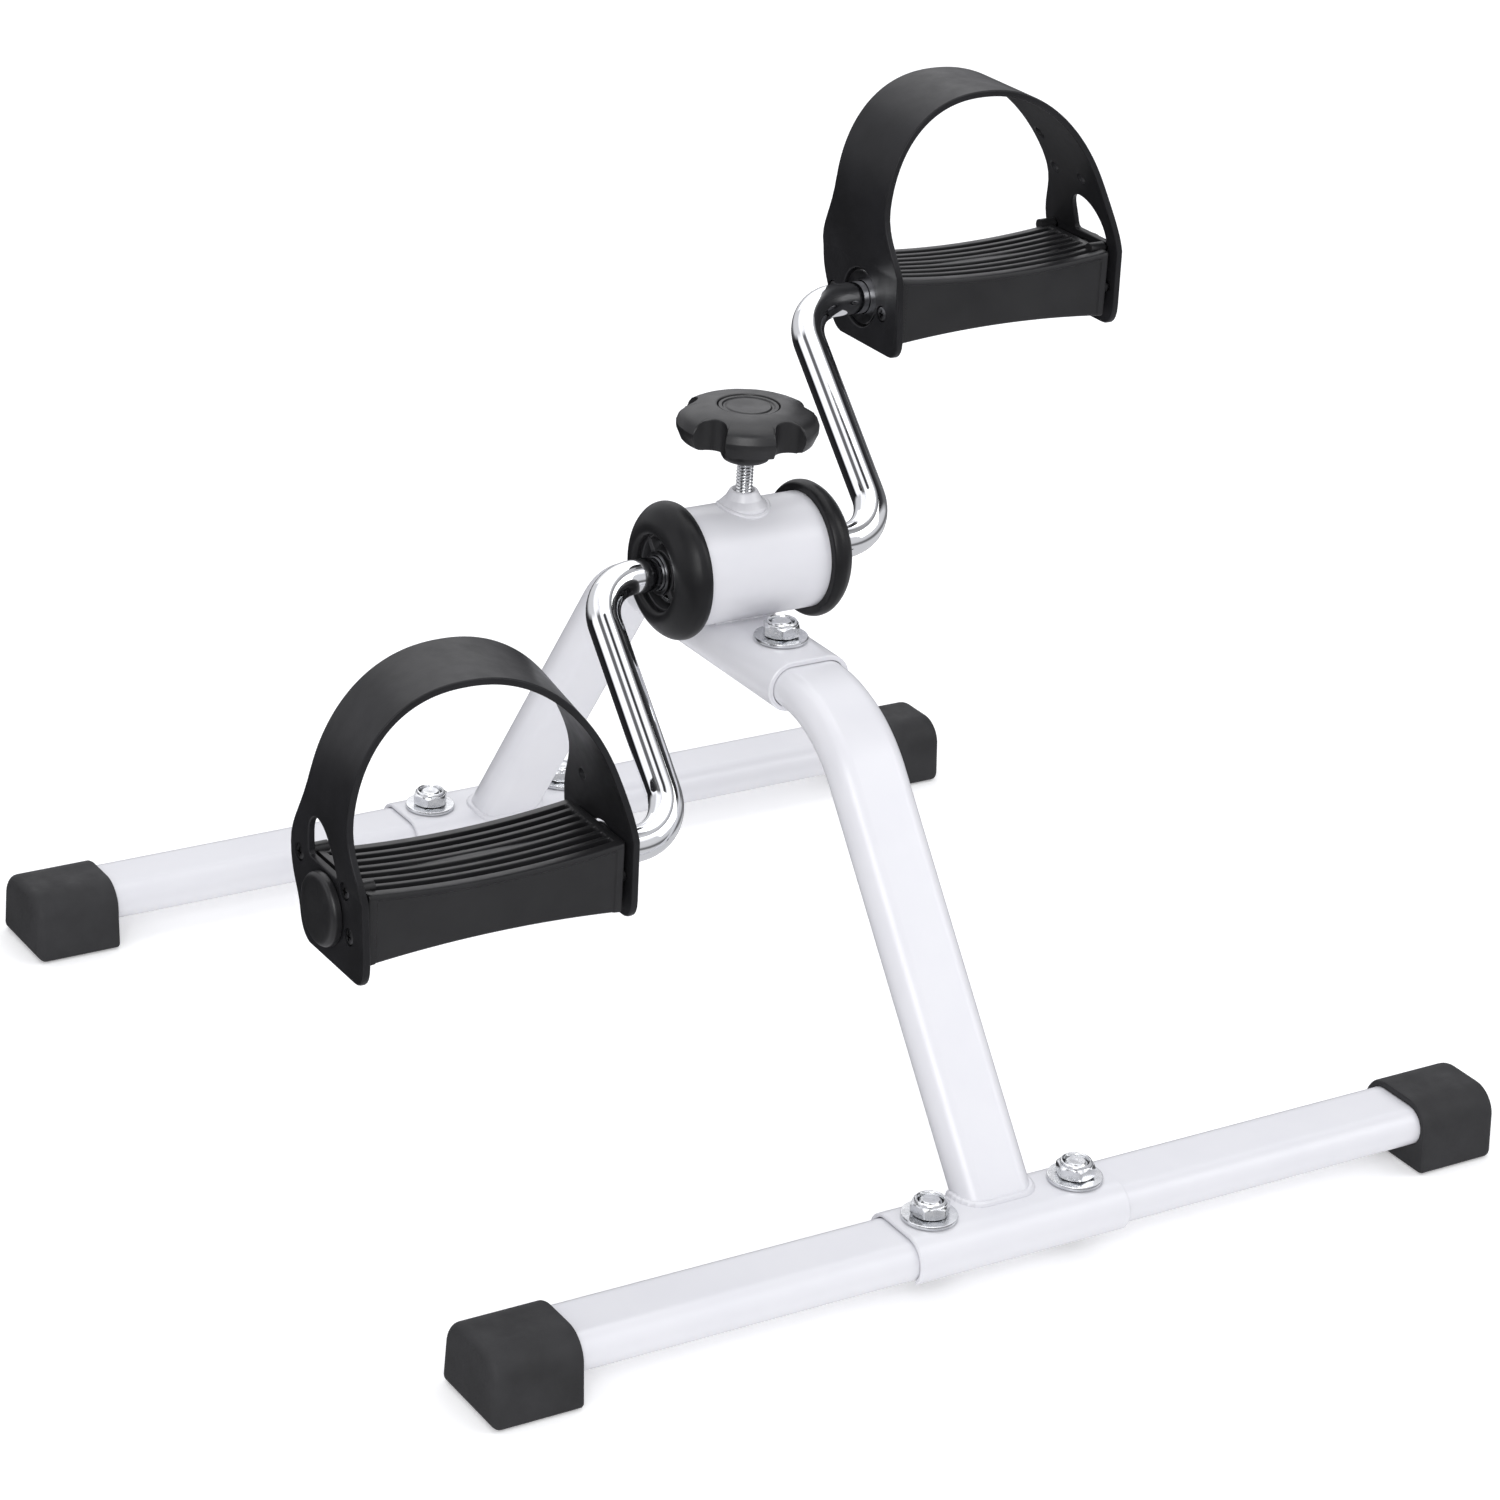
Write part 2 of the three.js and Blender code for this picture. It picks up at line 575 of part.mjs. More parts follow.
const TREAD_DISH = 3;
const SOLE_ARCH = 2.5;
const TREAD_UNDERSIDE = 5.4;
const PEDAL_WALL = 2.8;
const TREAD_RIBS = 8;
const RIB_PITCH = 5;
const GROOVE_WIDTH = 2.8;
const GROOVE_DEPTH = 2.2;
const TREAD_RIM = 2.5; // closes the grooves at both ends
const NECK_INNER = STRAP_INNER + STRAP_THICKNESS + GAP;
const NECK_OUTER = STRAP_OUTER - STRAP_THICKNESS - GAP;
const AXLE_HOLE_RADIUS = 11.5; // in the strap's crank-side end
const CAP_HOLE_RADIUS = 11; // in the strap's outer end
const SCREW_RADIUS = 1.5;
const SCREW_HEAD_RADIUS = 3;
const SCREW_HEAD_HEIGHT = 1.3;
const SCREW_DEPTH = 7;
const END_RECESS = 4.2; // around the axle's end, for its push nut
const OUTER_SCREWS = [[20.6, 12], [-13.4, 12], [-17, -3.2]];
const INNER_SCREWS = [[-15.8, -2], [18.8, -2]];

// A parabola that is `level` at both ends of the pedal block and `level - sag` at its middle.
function dished(x, level, sag) {
  const middle = (PEDAL_INNER + PEDAL_OUTER) / 2;
  const reach = (PEDAL_OUTER - PEDAL_INNER) / 2;
  return level - sag * (1 - ((x - middle) / reach) ** 2);
}

function blockOutline(low, high) {
  const steps = 4;
  const points = [];
  for (let i = 0; i <= steps; i += 1) {
    const x = PEDAL_INNER + ((PEDAL_OUTER - PEDAL_INNER) * i) / steps;
    points.push([x, low(x)]);
  }
  for (let i = steps; i >= 0; i -= 1) {
    const x = PEDAL_INNER + ((PEDAL_OUTER - PEDAL_INNER) * i) / steps;
    points.push([x, high(x)]);
  }
  return outline(points);
}

function pedalBody() {
  const tread = (x) => dished(x, TREAD_TOP, TREAD_DISH);
  const sole = (x) => dished(x, SOLE_BOTTOM, -SOLE_ARCH);
  const block = prismY(blockOutline(sole, tread), -PEDAL_HALF_DEPTH, PEDAL_HALF_DEPTH);
  const cavity = box(
    [PEDAL_INNER + PEDAL_WALL, PEDAL_WALL - PEDAL_HALF_DEPTH, SOLE_BOTTOM - 1],
    [PEDAL_OUTER - PEDAL_WALL, PEDAL_HALF_DEPTH - PEDAL_WALL, TREAD_UNDERSIDE],
  );
  const neck = box([NECK_INNER, -17, -11], [NECK_OUTER, 17, 11]);
  const neckMiddle = box([PEDAL_INNER + PEDAL_WALL, -18, -12], [PEDAL_OUTER - PEDAL_WALL, 18, 12]);
  const sleeve = rodX(9, PEDAL_INNER, PEDAL_OUTER);
  const crossRibs = [0.25, 0.5, 0.75].map((share) => {
    const x = PEDAL_INNER + (PEDAL_OUTER - PEDAL_INNER) * share;
    return box([x - 1, -PEDAL_HALF_DEPTH + 1, -8], [x + 1, PEDAL_HALF_DEPTH - 1, 8]);
  });
  const bosses = [
    ...OUTER_SCREWS.map(([y, z]) => rodX(2.8, PEDAL_OUTER - 5, NECK_OUTER - 1, y, z)),
    ...INNER_SCREWS.map(([y, z]) => rodX(2.8, NECK_INNER, PEDAL_INNER + 5, y, z)),
  ];
  const screwHoles = [
    ...OUTER_SCREWS.map(([y, z]) => rodX(SCREW_RADIUS + GAP, NECK_OUTER - SCREW_DEPTH, NECK_OUTER + 1, y, z)),
    ...INNER_SCREWS.map(([y, z]) => rodX(SCREW_RADIUS + GAP, NECK_INNER - 1, NECK_INNER + SCREW_DEPTH, y, z)),
  ];
  const endRims = [
    box([PEDAL_INNER - 5, -30, -20], [PEDAL_INNER + TREAD_RIM, 30, 30]),
    box([PEDAL_OUTER - TREAD_RIM, -30, -20], [PEDAL_OUTER + 5, 30, 30]),
  ];
  const grooves = [];
  for (let i = 0; i < TREAD_RIBS - 1; i += 1) {
    const y = (i - (TREAD_RIBS - 2) / 2) * RIB_PITCH;
    const shape = blockOutline((x) => tread(x) - GROOVE_DEPTH, () => TREAD_TOP + 5);
    const groove = prismY(shape, y - GROOVE_WIDTH / 2, y + GROOVE_WIDTH / 2);
    grooves.push(cut(groove, ...endRims));
  }
  return cut(
    join(cut(block, cavity), cut(neck, neckMiddle), sleeve, ...crossRibs, ...bosses),
    rodX(ROD_RADIUS + ROD_CLEARANCE, NECK_INNER - 1, NECK_OUTER + 1),
    rodX(AXLE_HOLE_RADIUS - 1.5, AXLE_END - END_RECESS, NECK_OUTER + 1),
    ...screwHoles,
    ...grooves,
  );
}

const ARCH_BASE = 12.3; // where the strap's straight ends turn into its arch

// One edge of the strap's arch, seen along Y: a superellipse on two straight ends.
function archEdge(inset, lean) {
  const bottom = -30;
  const power = 2 / 2.2;
  const middle = (STRAP_INNER + STRAP_OUTER) / 2;
  const reach = (STRAP_OUTER - STRAP_INNER) / 2 - inset;
  const rise = STRAP_HEIGHT - inset - ARCH_BASE;
  const points = [[middle + reach, bottom]];
  const steps = 22;
  for (let i = 0; i <= steps; i += 1) {
    const angle = (Math.PI * i) / steps;
    const across = Math.sign(Math.cos(angle)) * Math.abs(Math.cos(angle)) ** power;
    const up = Math.abs(Math.sin(angle)) ** power;
    points.push([middle + reach * across + lean * up, ARCH_BASE + rise * up]);
  }
  points.push([middle - reach, bottom]);
  return points;
}

// One half of the strap seen along X: a broad end narrowing into the band of the arch.
function strapSide({ front, foot, bottom }) {
  const shape = new THREE.Shape();
  shape.moveTo(7 - foot, bottom);
  shape.lineTo(12, bottom);
  shape.quadraticCurveTo(18.5, bottom + 1.5, 20, -8);
  shape.bezierCurveTo(21.5, -2, 27.5, 3, 27.5, 13);
  shape.bezierCurveTo(27.5, 24, BAND_HALF_WIDTH, 30, BAND_HALF_WIDTH, 44);
  shape.lineTo(BAND_HALF_WIDTH, STRAP_HEIGHT + 5);
  shape.lineTo(-BAND_HALF_WIDTH, STRAP_HEIGHT + 5);
  shape.lineTo(-BAND_HALF_WIDTH, 40);
  shape.bezierCurveTo(-BAND_HALF_WIDTH, 28, 0.5 - front, 22, -front, 12);
  shape.bezierCurveTo(-front - 0.2, 4, 0.2 - foot, -2, -foot, -10);
  shape.quadraticCurveTo(-foot, bottom, 7 - foot, bottom);
  return shape;
}

// The round-topped window in the strap's outer end.
function strapWindow(shiftY) {
  const y = (value) => value + shiftY;
  const shape = new THREE.Shape();
  shape.moveTo(y(-8), 14.2);
  shape.lineTo(y(10), 14.2);
  shape.quadraticCurveTo(y(11.5), 14.2, y(11.5), 15.8);
  shape.lineTo(y(11.5), 22.8);
  shape.bezierCurveTo(y(11.5), 27.8, y(8), 30.3, y(4.5), 30.3);
  shape.bezierCurveTo(y(-3), 30.3, y(-8.5), 22.8, y(-9.4), 16.2);
  shape.quadraticCurveTo(y(-9.6), 14.2, y(-8), 14.2);
  return shape;
}

const BAND_HALF_WIDTH = 18;
const BROAD_END = { front: 26.5, foot: 28.5 };
const NARROW_END = { front: 22, foot: 22.5 };
const STRAP_ENDS = {
  left: { outer: { ...BROAD_END, bottom: -18.5 }, inner: { ...NARROW_END, bottom: -17.5 } },
  right: { outer: { ...NARROW_END, bottom: -18.5 }, inner: { ...BROAD_END, bottom: -17.5 } },
};
const WINDOW_SHIFT = { left: 1.6, right: -4.9 };
const PEG_HOLES = { left: [[12.4, 25]], right: [[12.4, 39], [12.4, 54], [-5.6, 39]] };

function strap(side, sideX) {
  const lean = -STRAP_LEAN[side] * sideX;
  const twist = -STRAP_TWIST[side] * sideX;
  const inside = archEdge(STRAP_THICKNESS, lean).reverse();
  const arch = prismY(outline([...archEdge(0, lean), ...inside]), -40, 40);
  const middle = (STRAP_INNER + STRAP_OUTER) / 2;
  const sides = join(
    prismX(strapSide(STRAP_ENDS[side].outer), middle - 1, STRAP_OUTER + 20),
    prismX(strapSide(STRAP_ENDS[side].inner), STRAP_INNER - 20, middle + 1),
  );
  const outerHead = STRAP_OUTER - SCREW_HEAD_HEIGHT - GAP;
  const innerHead = STRAP_INNER + SCREW_HEAD_HEIGHT + GAP;
  const [pegFrom, pegTo] = sideX > 0 ? [middle + 20, STRAP_OUTER + 20] : [STRAP_INNER - 20, middle - 20];
  const band = cut(
    arch.intersect(sides),
    prismX(strapWindow(WINDOW_SHIFT[side]), middle, STRAP_OUTER + 20),
    rodX(CAP_HOLE_RADIUS, middle, STRAP_OUTER + 20),
    rodX(AXLE_HOLE_RADIUS, STRAP_INNER - 20, middle),
    ...OUTER_SCREWS.map(([y, z]) => rodX(SCREW_RADIUS + GAP, middle, STRAP_OUTER + 1, y, z)),
    ...OUTER_SCREWS.map(([y, z]) => rodX(SCREW_HEAD_RADIUS + GAP, outerHead, STRAP_OUTER + 1, y, z)),
    ...INNER_SCREWS.map(([y, z]) => rodX(SCREW_RADIUS + GAP, STRAP_INNER - 1, middle, y, z)),
    ...INNER_SCREWS.map(([y, z]) => rodX(SCREW_HEAD_RADIUS + GAP, STRAP_INNER - 1, innerHead, y, z)),
    ...PEG_HOLES[side].map(([y, z]) => rodX(2, pegFrom, pegTo, y, z)),
  );
  return band.warp((point) => {
    const up = Math.max(0, point[2] - ARCH_BASE) / (STRAP_HEIGHT - ARCH_BASE);
    point[0] += twist * point[1] * up;
  });
}

// A screw along +X with its head outermost, from its tip at 0.
function strapScrew() {
  const head = SCREW_DEPTH - 0.5 + STRAP_THICKNESS - SCREW_HEAD_HEIGHT + GAP;
  return turned([
    [0, 0], [SCREW_RADIUS, 0.8], [SCREW_RADIUS, head], [SCREW_HEAD_RADIUS, head],
    [SCREW_HEAD_RADIUS, head + SCREW_HEAD_HEIGHT - 0.4], [SCREW_HEAD_RADIUS - 0.6, head + SCREW_HEAD_HEIGHT],
    [0, head + SCREW_HEAD_HEIGHT],
  ], 'x', roundSides(SCREW_RADIUS));
}

function dustCap() {
  const face = STRAP_OUTER + GAP;
  return turned([
    [0, NECK_OUTER + GAP], [CAP_HOLE_RADIUS - GAP, NECK_OUTER + GAP], [CAP_HOLE_RADIUS - GAP, face],
    [DUST_CAP_RADIUS, face], [DUST_CAP_RADIUS, face + 2.4], [DUST_CAP_RADIUS - 1.5, face + 3.6],
    [0, face + 4.2],
  ], 'x', 20);
}

function addPedal(side, sideX) {
  const swing = ARM_LENGTH * sideX;
  const pedal = new THREE.Group();
  pedal.position.set(0, CRANK_Y + swing * Math.sin(CRANK_TILT), CRANK_Z + swing * Math.cos(CRANK_TILT));
  group.add(pedal);
  // Everything is drawn for the right side; the left side is its mirror image, front to front.
  const place = (name, shape, colour) => {
    const geometry = shape.isBufferGeometry ? geometryOf(solid(shape)) : geometryOf(shape);
    if (sideX > 0) return add(name, geometry, colour, pedal);
    geometry.scale(-1, 1, 1);
    return add(name, geometryOf(solid(geometry)), colour, pedal);
  };
  place(`pedal_body_${side}`, pedalBody(), BLACK_PLASTIC);
  place(`strap_${side}`, strap(side, sideX), BLACK_PLASTIC);
  place(`dust_cap_${side}`, dustCap(), BLACK_PLASTIC);
  OUTER_SCREWS.forEach(([y, z], i) => {
    const screw = strapScrew().translate(NECK_OUTER - SCREW_DEPTH + 0.5, y, z);
    place(`strap_screw_outer_${i + 1}_${side}`, screw, BLACK_STEEL);
  });
  INNER_SCREWS.forEach(([y, z], i) => {
    const screw = strapScrew().rotateZ(Math.PI).translate(NECK_INNER + SCREW_DEPTH - 0.5, y, z);
    place(`strap_screw_inner_${i + 1}_${side}`, screw, BLACK_STEEL);
  });
  const axleWasher = ringX(ROD_RADIUS + ROD_CLEARANCE, 10.5, STRAP_INNER + 0.9, NECK_INNER - GAP);
  place(`axle_washer_${side}`, axleWasher, BLACK_STEEL);
  const pushNut = ringX(ROD_RADIUS + ROD_CLEARANCE, 9.4, AXLE_END - END_RECESS + GAP, AXLE_END - 1.6);
  place(`push_nut_${side}`, pushNut, ZINC);
}

SIDES.forEach(([side, sideX]) => addPedal(side, sideX));

export default group;
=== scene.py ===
import json
from bisect import bisect_right
from math import atan2, cos, degrees, hypot, pi, radians, sin, sqrt, tan

import bmesh
import bpy
from mathutils import Matrix, Quaternion, Vector


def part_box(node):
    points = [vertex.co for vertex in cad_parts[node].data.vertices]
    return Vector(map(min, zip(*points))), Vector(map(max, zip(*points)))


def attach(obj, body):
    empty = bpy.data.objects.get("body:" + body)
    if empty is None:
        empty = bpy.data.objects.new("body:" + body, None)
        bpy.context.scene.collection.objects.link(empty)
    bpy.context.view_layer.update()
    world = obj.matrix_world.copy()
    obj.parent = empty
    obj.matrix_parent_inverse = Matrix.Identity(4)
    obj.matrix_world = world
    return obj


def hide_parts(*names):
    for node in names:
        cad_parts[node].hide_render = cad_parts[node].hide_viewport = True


# Looks of the pedal exerciser. Shapes are worked out in millimetres and scaled when a piece is made.
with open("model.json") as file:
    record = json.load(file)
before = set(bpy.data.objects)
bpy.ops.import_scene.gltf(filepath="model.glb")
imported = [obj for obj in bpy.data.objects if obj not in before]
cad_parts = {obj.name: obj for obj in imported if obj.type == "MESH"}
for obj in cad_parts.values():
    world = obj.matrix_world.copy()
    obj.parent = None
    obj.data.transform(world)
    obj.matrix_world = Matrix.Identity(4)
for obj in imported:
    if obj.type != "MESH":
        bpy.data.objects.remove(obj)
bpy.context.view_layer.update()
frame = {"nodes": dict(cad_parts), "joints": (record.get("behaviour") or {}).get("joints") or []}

MM = 0.001
SIDES = (("left", -1), ("right", 1))
ENDS = (("front", -1), ("rear", 1))
JOINTS = {joint["name"]: joint for joint in frame["joints"]}


def box_mm(node):
    low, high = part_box(node)
    return low / MM, high / MM


def middle_mm(node):
    low, high = box_mm(node)
    return (low + high) / 2


def pivot_mm(joint):
    return Vector(JOINTS[joint]["pos_m"]) / MM


# ---- measures taken from the frame ----

GAP = 0.25
CRANK = pivot_mm("crank_spin")
AXLES = {side: pivot_mm(f"{side}_pedal_spin") for side, _ in SIDES}
ROD_RADIUS = 6.35
ROD_BORE = ROD_RADIUS + GAP
ROD_BEND = 18.7
ARM_X_AT_BARREL = 62.5
ARM_X_AT_PEDAL = 69.7
AXLE_END = box_mm("crank_rod")[1].x

TUBE_WIDTH = 30
TUBE_HEIGHT = 15
TUBE_WALL = 1.5
SLEEVE = 0.6
BAR_Z = middle_mm("front_foot_bar").z
BAR_Y = {end: middle_mm(f"{end}_foot_bar").y for end, _ in ENDS}
BAR_HALF_LENGTH = box_mm("front_foot_bar")[1].x
SADDLE_HALF_LENGTH = box_mm("front_leg")[1].x
SADDLE_WALL = 1.5
SADDLE_ARC = (TUBE_HEIGHT + SLEEVE + SADDLE_WALL) / 2
SADDLE_TOP = BAR_Z + SADDLE_ARC + SADDLE_WALL / 2
# Each leg's foot and bend along Y, and the radius of its bend.
LEGS = {"front": (-177, -68, 52), "rear": (177, 82, 41)}

BARREL_RADIUS = 21.7
BARREL_BORE = 20.2
BARREL_HALF_LENGTH = box_mm("housing")[1].x
SOCKET_WALL = 1.7
SOCKET_HEIGHT = TUBE_HEIGHT + SLEEVE + 2 * SOCKET_WALL
SOCKET_WIDTH = TUBE_WIDTH + SLEEVE + 2 * SOCKET_WALL
SOCKET_Z = box_mm("housing")[0].z + SOCKET_HEIGHT / 2

NECK_INNER = box_mm("pedal_body_right")[0].x
NECK_OUTER = box_mm("pedal_body_right")[1].x
PEDAL_INNER = NECK_INNER + 2.15
PEDAL_OUTER = NECK_OUTER - 2.65
PEDAL_HALF_DEPTH = 20.5
TREAD_TOP = 12.4
SOLE_BOTTOM = -14.4
STRAP_THICKNESS = 2.6
STRAP_INNER = NECK_INNER - GAP - STRAP_THICKNESS
STRAP_OUTER = NECK_OUTER + GAP + STRAP_THICKNESS
ARCH_BASE = 12.3  # the arch starts this far above the pedal axle
BAND_HALF_WIDTH = 18
STRAP_HEIGHT = box_mm("strap_right")[1].z - AXLES["right"].z
STRAP_LEAN = {"left": 9, "right": 15}  # towards -X at the top
STRAP_TWIST = {"left": -0.23, "right": 0}  # the lean's change with Y, at the top
# Screws and peg holes by Y and height from the axle.
OUTER_SCREWS = ((20.6, 12), (-13.4, 12), (-17, -3.2))
INNER_SCREWS = ((-15.8, -2), (18.8, -2))
PEG_HOLE_RADIUS = 2
PEG_HOLES = {"left": ((12.4, 25),), "right": ((12.4, 39), (12.4, 54), (-5.6, 39))}
WINDOW_SHIFT = {"left": 1.6, "right": -4.9}
# How far each end of a strap reaches forward, at its widest and at its foot, and its lowest edge.
BROAD_END = (26.5, 28.5)
NARROW_END = (22, 22.5)
OUTER_BOTTOM = -18.5
INNER_BOTTOM = -17.5
SCREW_DEPTH = 7
SCREW_HOLE_RADIUS = 1.75
SCREW_HEAD_RADIUS = 3
SCREW_BOSS_RADIUS = 2.3

KNOB_BOTTOM = box_mm("knob")[0].z
KNOB_TOP = box_mm("knob")[1].z
KNOB_RADIUS = 26
STUD_RADIUS = 3.18


# ---- outlines and profiles, as lists of two-dimensional points ----

def arc(radius, start, end, steps, centre=(0, 0)):
    """Points on an arc, angles in degrees, both ends included."""
    angles = [radians(start + (end - start) * i / steps) for i in range(steps + 1)]
    return [(centre[0] + radius * cos(a), centre[1] + radius * sin(a)) for a in angles]


def rounded(points, closed=False, steps=4):
    """Turns each corner that gives a third number, a radius, into an arc."""
    made = []
    for i, point in enumerate(points):
        here = Vector(point[:2])
        if len(point) == 2 or (not closed and i in (0, len(points) - 1)):
            made.append(tuple(here))
        else:
            to_last = (Vector(points[i - 1][:2]) - here).normalized()
            to_next = (Vector(points[(i + 1) % len(points)][:2]) - here).normalized()
            half = to_last.angle(to_next) / 2
            centre = here + (to_last + to_next).normalized() * point[2] / sin(half)
            start = here + to_last * point[2] / tan(half) - centre
            end = here + to_next * point[2] / tan(half) - centre
            first = degrees(atan2(start.y, start.x))
            turn = (degrees(atan2(end.y, end.x)) - first + 180) % 360 - 180
            made += arc(point[2], first, first + turn, steps, centre)
    return made


def smooth(points, steps=4):
    """A Catmull-Rom curve through the points."""
    padded = [points[0], *points, points[-1]]
    made = [points[0]]
    for i in range(len(points) - 1):
        a, b, c, d = (Vector(p) for p in padded[i:i + 4])
        for k in range(1, steps + 1):
            t = k / steps
            made.append(tuple(
                0.5 * (2 * b + (c - a) * t + (2 * a - 5 * b + 4 * c - d) * t * t
                       + (3 * b - a - 3 * c + d) * t ** 3)))
    return made


def bezier(controls, steps):
    """Points of one Bezier curve after its first."""
    made = []
    for i in range(1, steps + 1):
        level = [Vector(point) for point in controls]
        while len(level) > 1:
            level = [a.lerp(b, i / steps) for a, b in zip(level, level[1:])]
        made.append(tuple(level[0]))
    return made


def trace(start, *curves):
    """Joined Bezier curves, each as its controls after its start and then its number of steps."""
    points = [start]
    for *controls, steps in curves:
        points += bezier([points[-1], *controls], steps)
    return points


def flat_oval(width, height, centre=(0, 0), steps=12):
    radius = height / 2
    reach = width / 2 - radius
    right = arc(radius, -90, 90, steps, (centre[0] + reach, centre[1]))
    left = arc(radius, 90, 270, steps, (centre[0] - reach, centre[1]))
    return right + left


def circle(radius, count=32, centre=(0, 0)):
    return arc(radius, 0, 360, count, centre)[:-1]


# ---- solids, as bmeshes in millimetres ----

def loft(rings, ends=True, around=False):
    """Skins a row of rings of points. `around` joins the last ring to the first."""
    bm = bmesh.new()
    rows = [[bm.verts.new(point) for point in ring] for ring in rings]
    following = rows[1:] + rows[:1] if around else rows[1:]
    for row, after in zip(rows, following):
        for i in range(len(row)):
            bm.faces.new((row[i - 1], row[i], after[i], after[i - 1]))
    if ends and not around:
        bm.faces.new(rows[0])
        bm.faces.new(rows[-1])
    return tidy(bm)


def tidy(bm):
    bmesh.ops.remove_doubles(bm, verts=bm.verts, dist=1e-4)
    bmesh.ops.recalc_face_normals(bm, faces=bm.faces)
    return bm


def moved(bm, x=0, y=0, z=0):
    bm.transform(Matrix.Translation((x, y, z)))
    return bm


def mirrored(bm, side):
    """Drawn for the right side; side -1 gives its mirror image."""
    if side < 0:
        bm.transform(Matrix.Scale(-1, 4, (1, 0, 0)))
        bmesh.ops.recalc_face_normals(bm, faces=bm.faces)
    return bm


def mesh_of(name, bm):
    mesh = bpy.data.meshes.new(name)
    bm.to_mesh(mesh)
    bm.free()
    return mesh


def linked(name, data):
    made = bpy.data.objects.new(name, data)
    bpy.context.scene.collection.objects.link(made)
    return made


def taken_from(holder):
    """The shape of an object with its modifiers, as a bmesh."""
    mesh = bpy.data.meshes.new_from_object(holder.evaluated_get(bpy.context.evaluated_depsgraph_get()))
    bm = bmesh.new()
    bm.from_mesh(mesh)
    bpy.data.meshes.remove(mesh)
    return tidy(bm)


def merged(*parts):
    """Several bmeshes as one."""
    whole = parts[0]
    for part in parts[1:]:
        mesh = mesh_of("part", part)
        whole.from_mesh(mesh)
        bpy.data.meshes.remove(mesh)
    return whole


def lathe(profile, axis="Z", sides=64, around=False):
    """Turns a profile of (radius, place along the axis) about Z or X."""
    angles = [2 * pi * i / sides for i in range(sides)]
    rings = [[(radius * cos(a), radius * sin(a), along) for a in angles] for radius, along in profile]
    bm = loft(rings, ends=False, around=around)
    if axis == "X":
        bm.transform(Matrix.Rotation(pi / 2, 4, "Y"))
    return bm


def rod(radius, start, end, axis="Z", sides=32, at=(0, 0, 0)):
    return moved(lathe([(0, start), (radius, start), (radius, end), (0, end)], axis, sides), *at)


def ring(inner, outer, start, end, axis="X", sides=64, edge=0.3):
    profile = rounded([(inner, start, edge), (outer, start, edge), (outer, end, edge), (inner, end, edge)],
                      closed=True, steps=2)
    return lathe(profile, axis, sides, around=True)


def block(low, high, edge=0):
    """A box with rounded edges."""
    bm = bmesh.new()
    bmesh.ops.create_cube(bm, size=1)
    size = [b - a for a, b in zip(low, high)]
    bm.transform(Matrix.Translation([(a + b) / 2 for a, b in zip(low, high)]) @ Matrix.Diagonal((*size, 1)))
    if edge:
        bmesh.ops.bevel(bm, geom=list(bm.edges), offset=edge, segments=3, profile=0.5, affect="EDGES")
    return bm


def prism(outline, start, end, axis="X", edge=0.4):
    """An outline pushed along X (its axes are Y and Z) or Y (its axes are X and Z), with softened ends."""
    middle = sum((Vector(p) for p in outline), Vector((0, 0))) / len(outline)
    rings = []
    for along, inset in ((start, edge), (start + edge, 0), (end - edge, 0), (end, edge)):
        flat = [Vector(p) - (Vector(p) - middle).normalized() * inset for p in outline]
        rings.append([(along, u, v) if axis == "X" else (u, along, v) for u, v in flat])
    return loft(rings)


def flat_sheet(outlines, thickness, edge):
    """A flat piece in X and Y from an outer outline and its holes, with rounded edges all round."""
    curve = bpy.data.curves.new("sheet", "CURVE")
    curve.dimensions = "2D"
    curve.fill_mode = "BOTH"
    curve.extrude = thickness / 2 - edge
    curve.bevel_depth = edge
    curve.bevel_resolution = 2
    curve.offset = -edge
    for outline in outlines:
        spline = curve.splines.new("POLY")
        spline.points.add(len(outline) - 1)
        spline.use_cyclic_u = True
        for point, (u, v) in zip(spline.points, outline):
            point.co = (u, v, 0, 1)
    holder = linked("sheet", curve)
    bm = taken_from(holder)
    bpy.data.objects.remove(holder)
    bpy.data.curves.remove(curve)
    return bm


def combined(body, *steps):
    """Boolean joins and cuts: each step is an operation's name and a solid."""
    base = linked("base", mesh_of("base", body))
    tools = []
    for operation, solid in steps:
        tools.append(linked("tool", mesh_of("tool", solid)))
        modifier = base.modifiers.new("step", "BOOLEAN")
        modifier.operation = operation
        modifier.solver = "EXACT"
        modifier.object = tools[-1]
    bm = taken_from(base)
    for holder in (base, *tools):
        mesh = holder.data
        bpy.data.objects.remove(holder)
        bpy.data.meshes.remove(mesh)
    return bm


def bent_route(corners, radius, steps):
    """Straight runs joined by round bends, as (point, direction)."""
    corners = [Vector(corner) for corner in corners]
    heading = [(b - a).normalized() for a, b in zip(corners, corners[1:])]
    route = [(corners[0], heading[0])]
    for corner, before, after in zip(corners[1:-1], heading, heading[1:]):
        angle = before.angle(after)
        centre = corner + (after - before).normalized() * radius / cos(angle / 2)
        start = corner - before * radius * tan(angle / 2)
        normal = before.cross(after).normalized()
        for k in range(steps + 1):
            turn = Quaternion(normal, angle * k / steps)
            route.append((centre + turn @ (start - centre), turn @ before))
    route.append((corners[-1], heading[-1]))
    return route


def sweep(outline, route, across):
    """Carries an outline along a flat route; `across` is square to the route's plane."""
    across = Vector(across)
    rings = []
    for point, direction in route:
        up = across.cross(direction)
        rings.append([point + across * u + up * v for u, v in outline])
    return loft(rings)


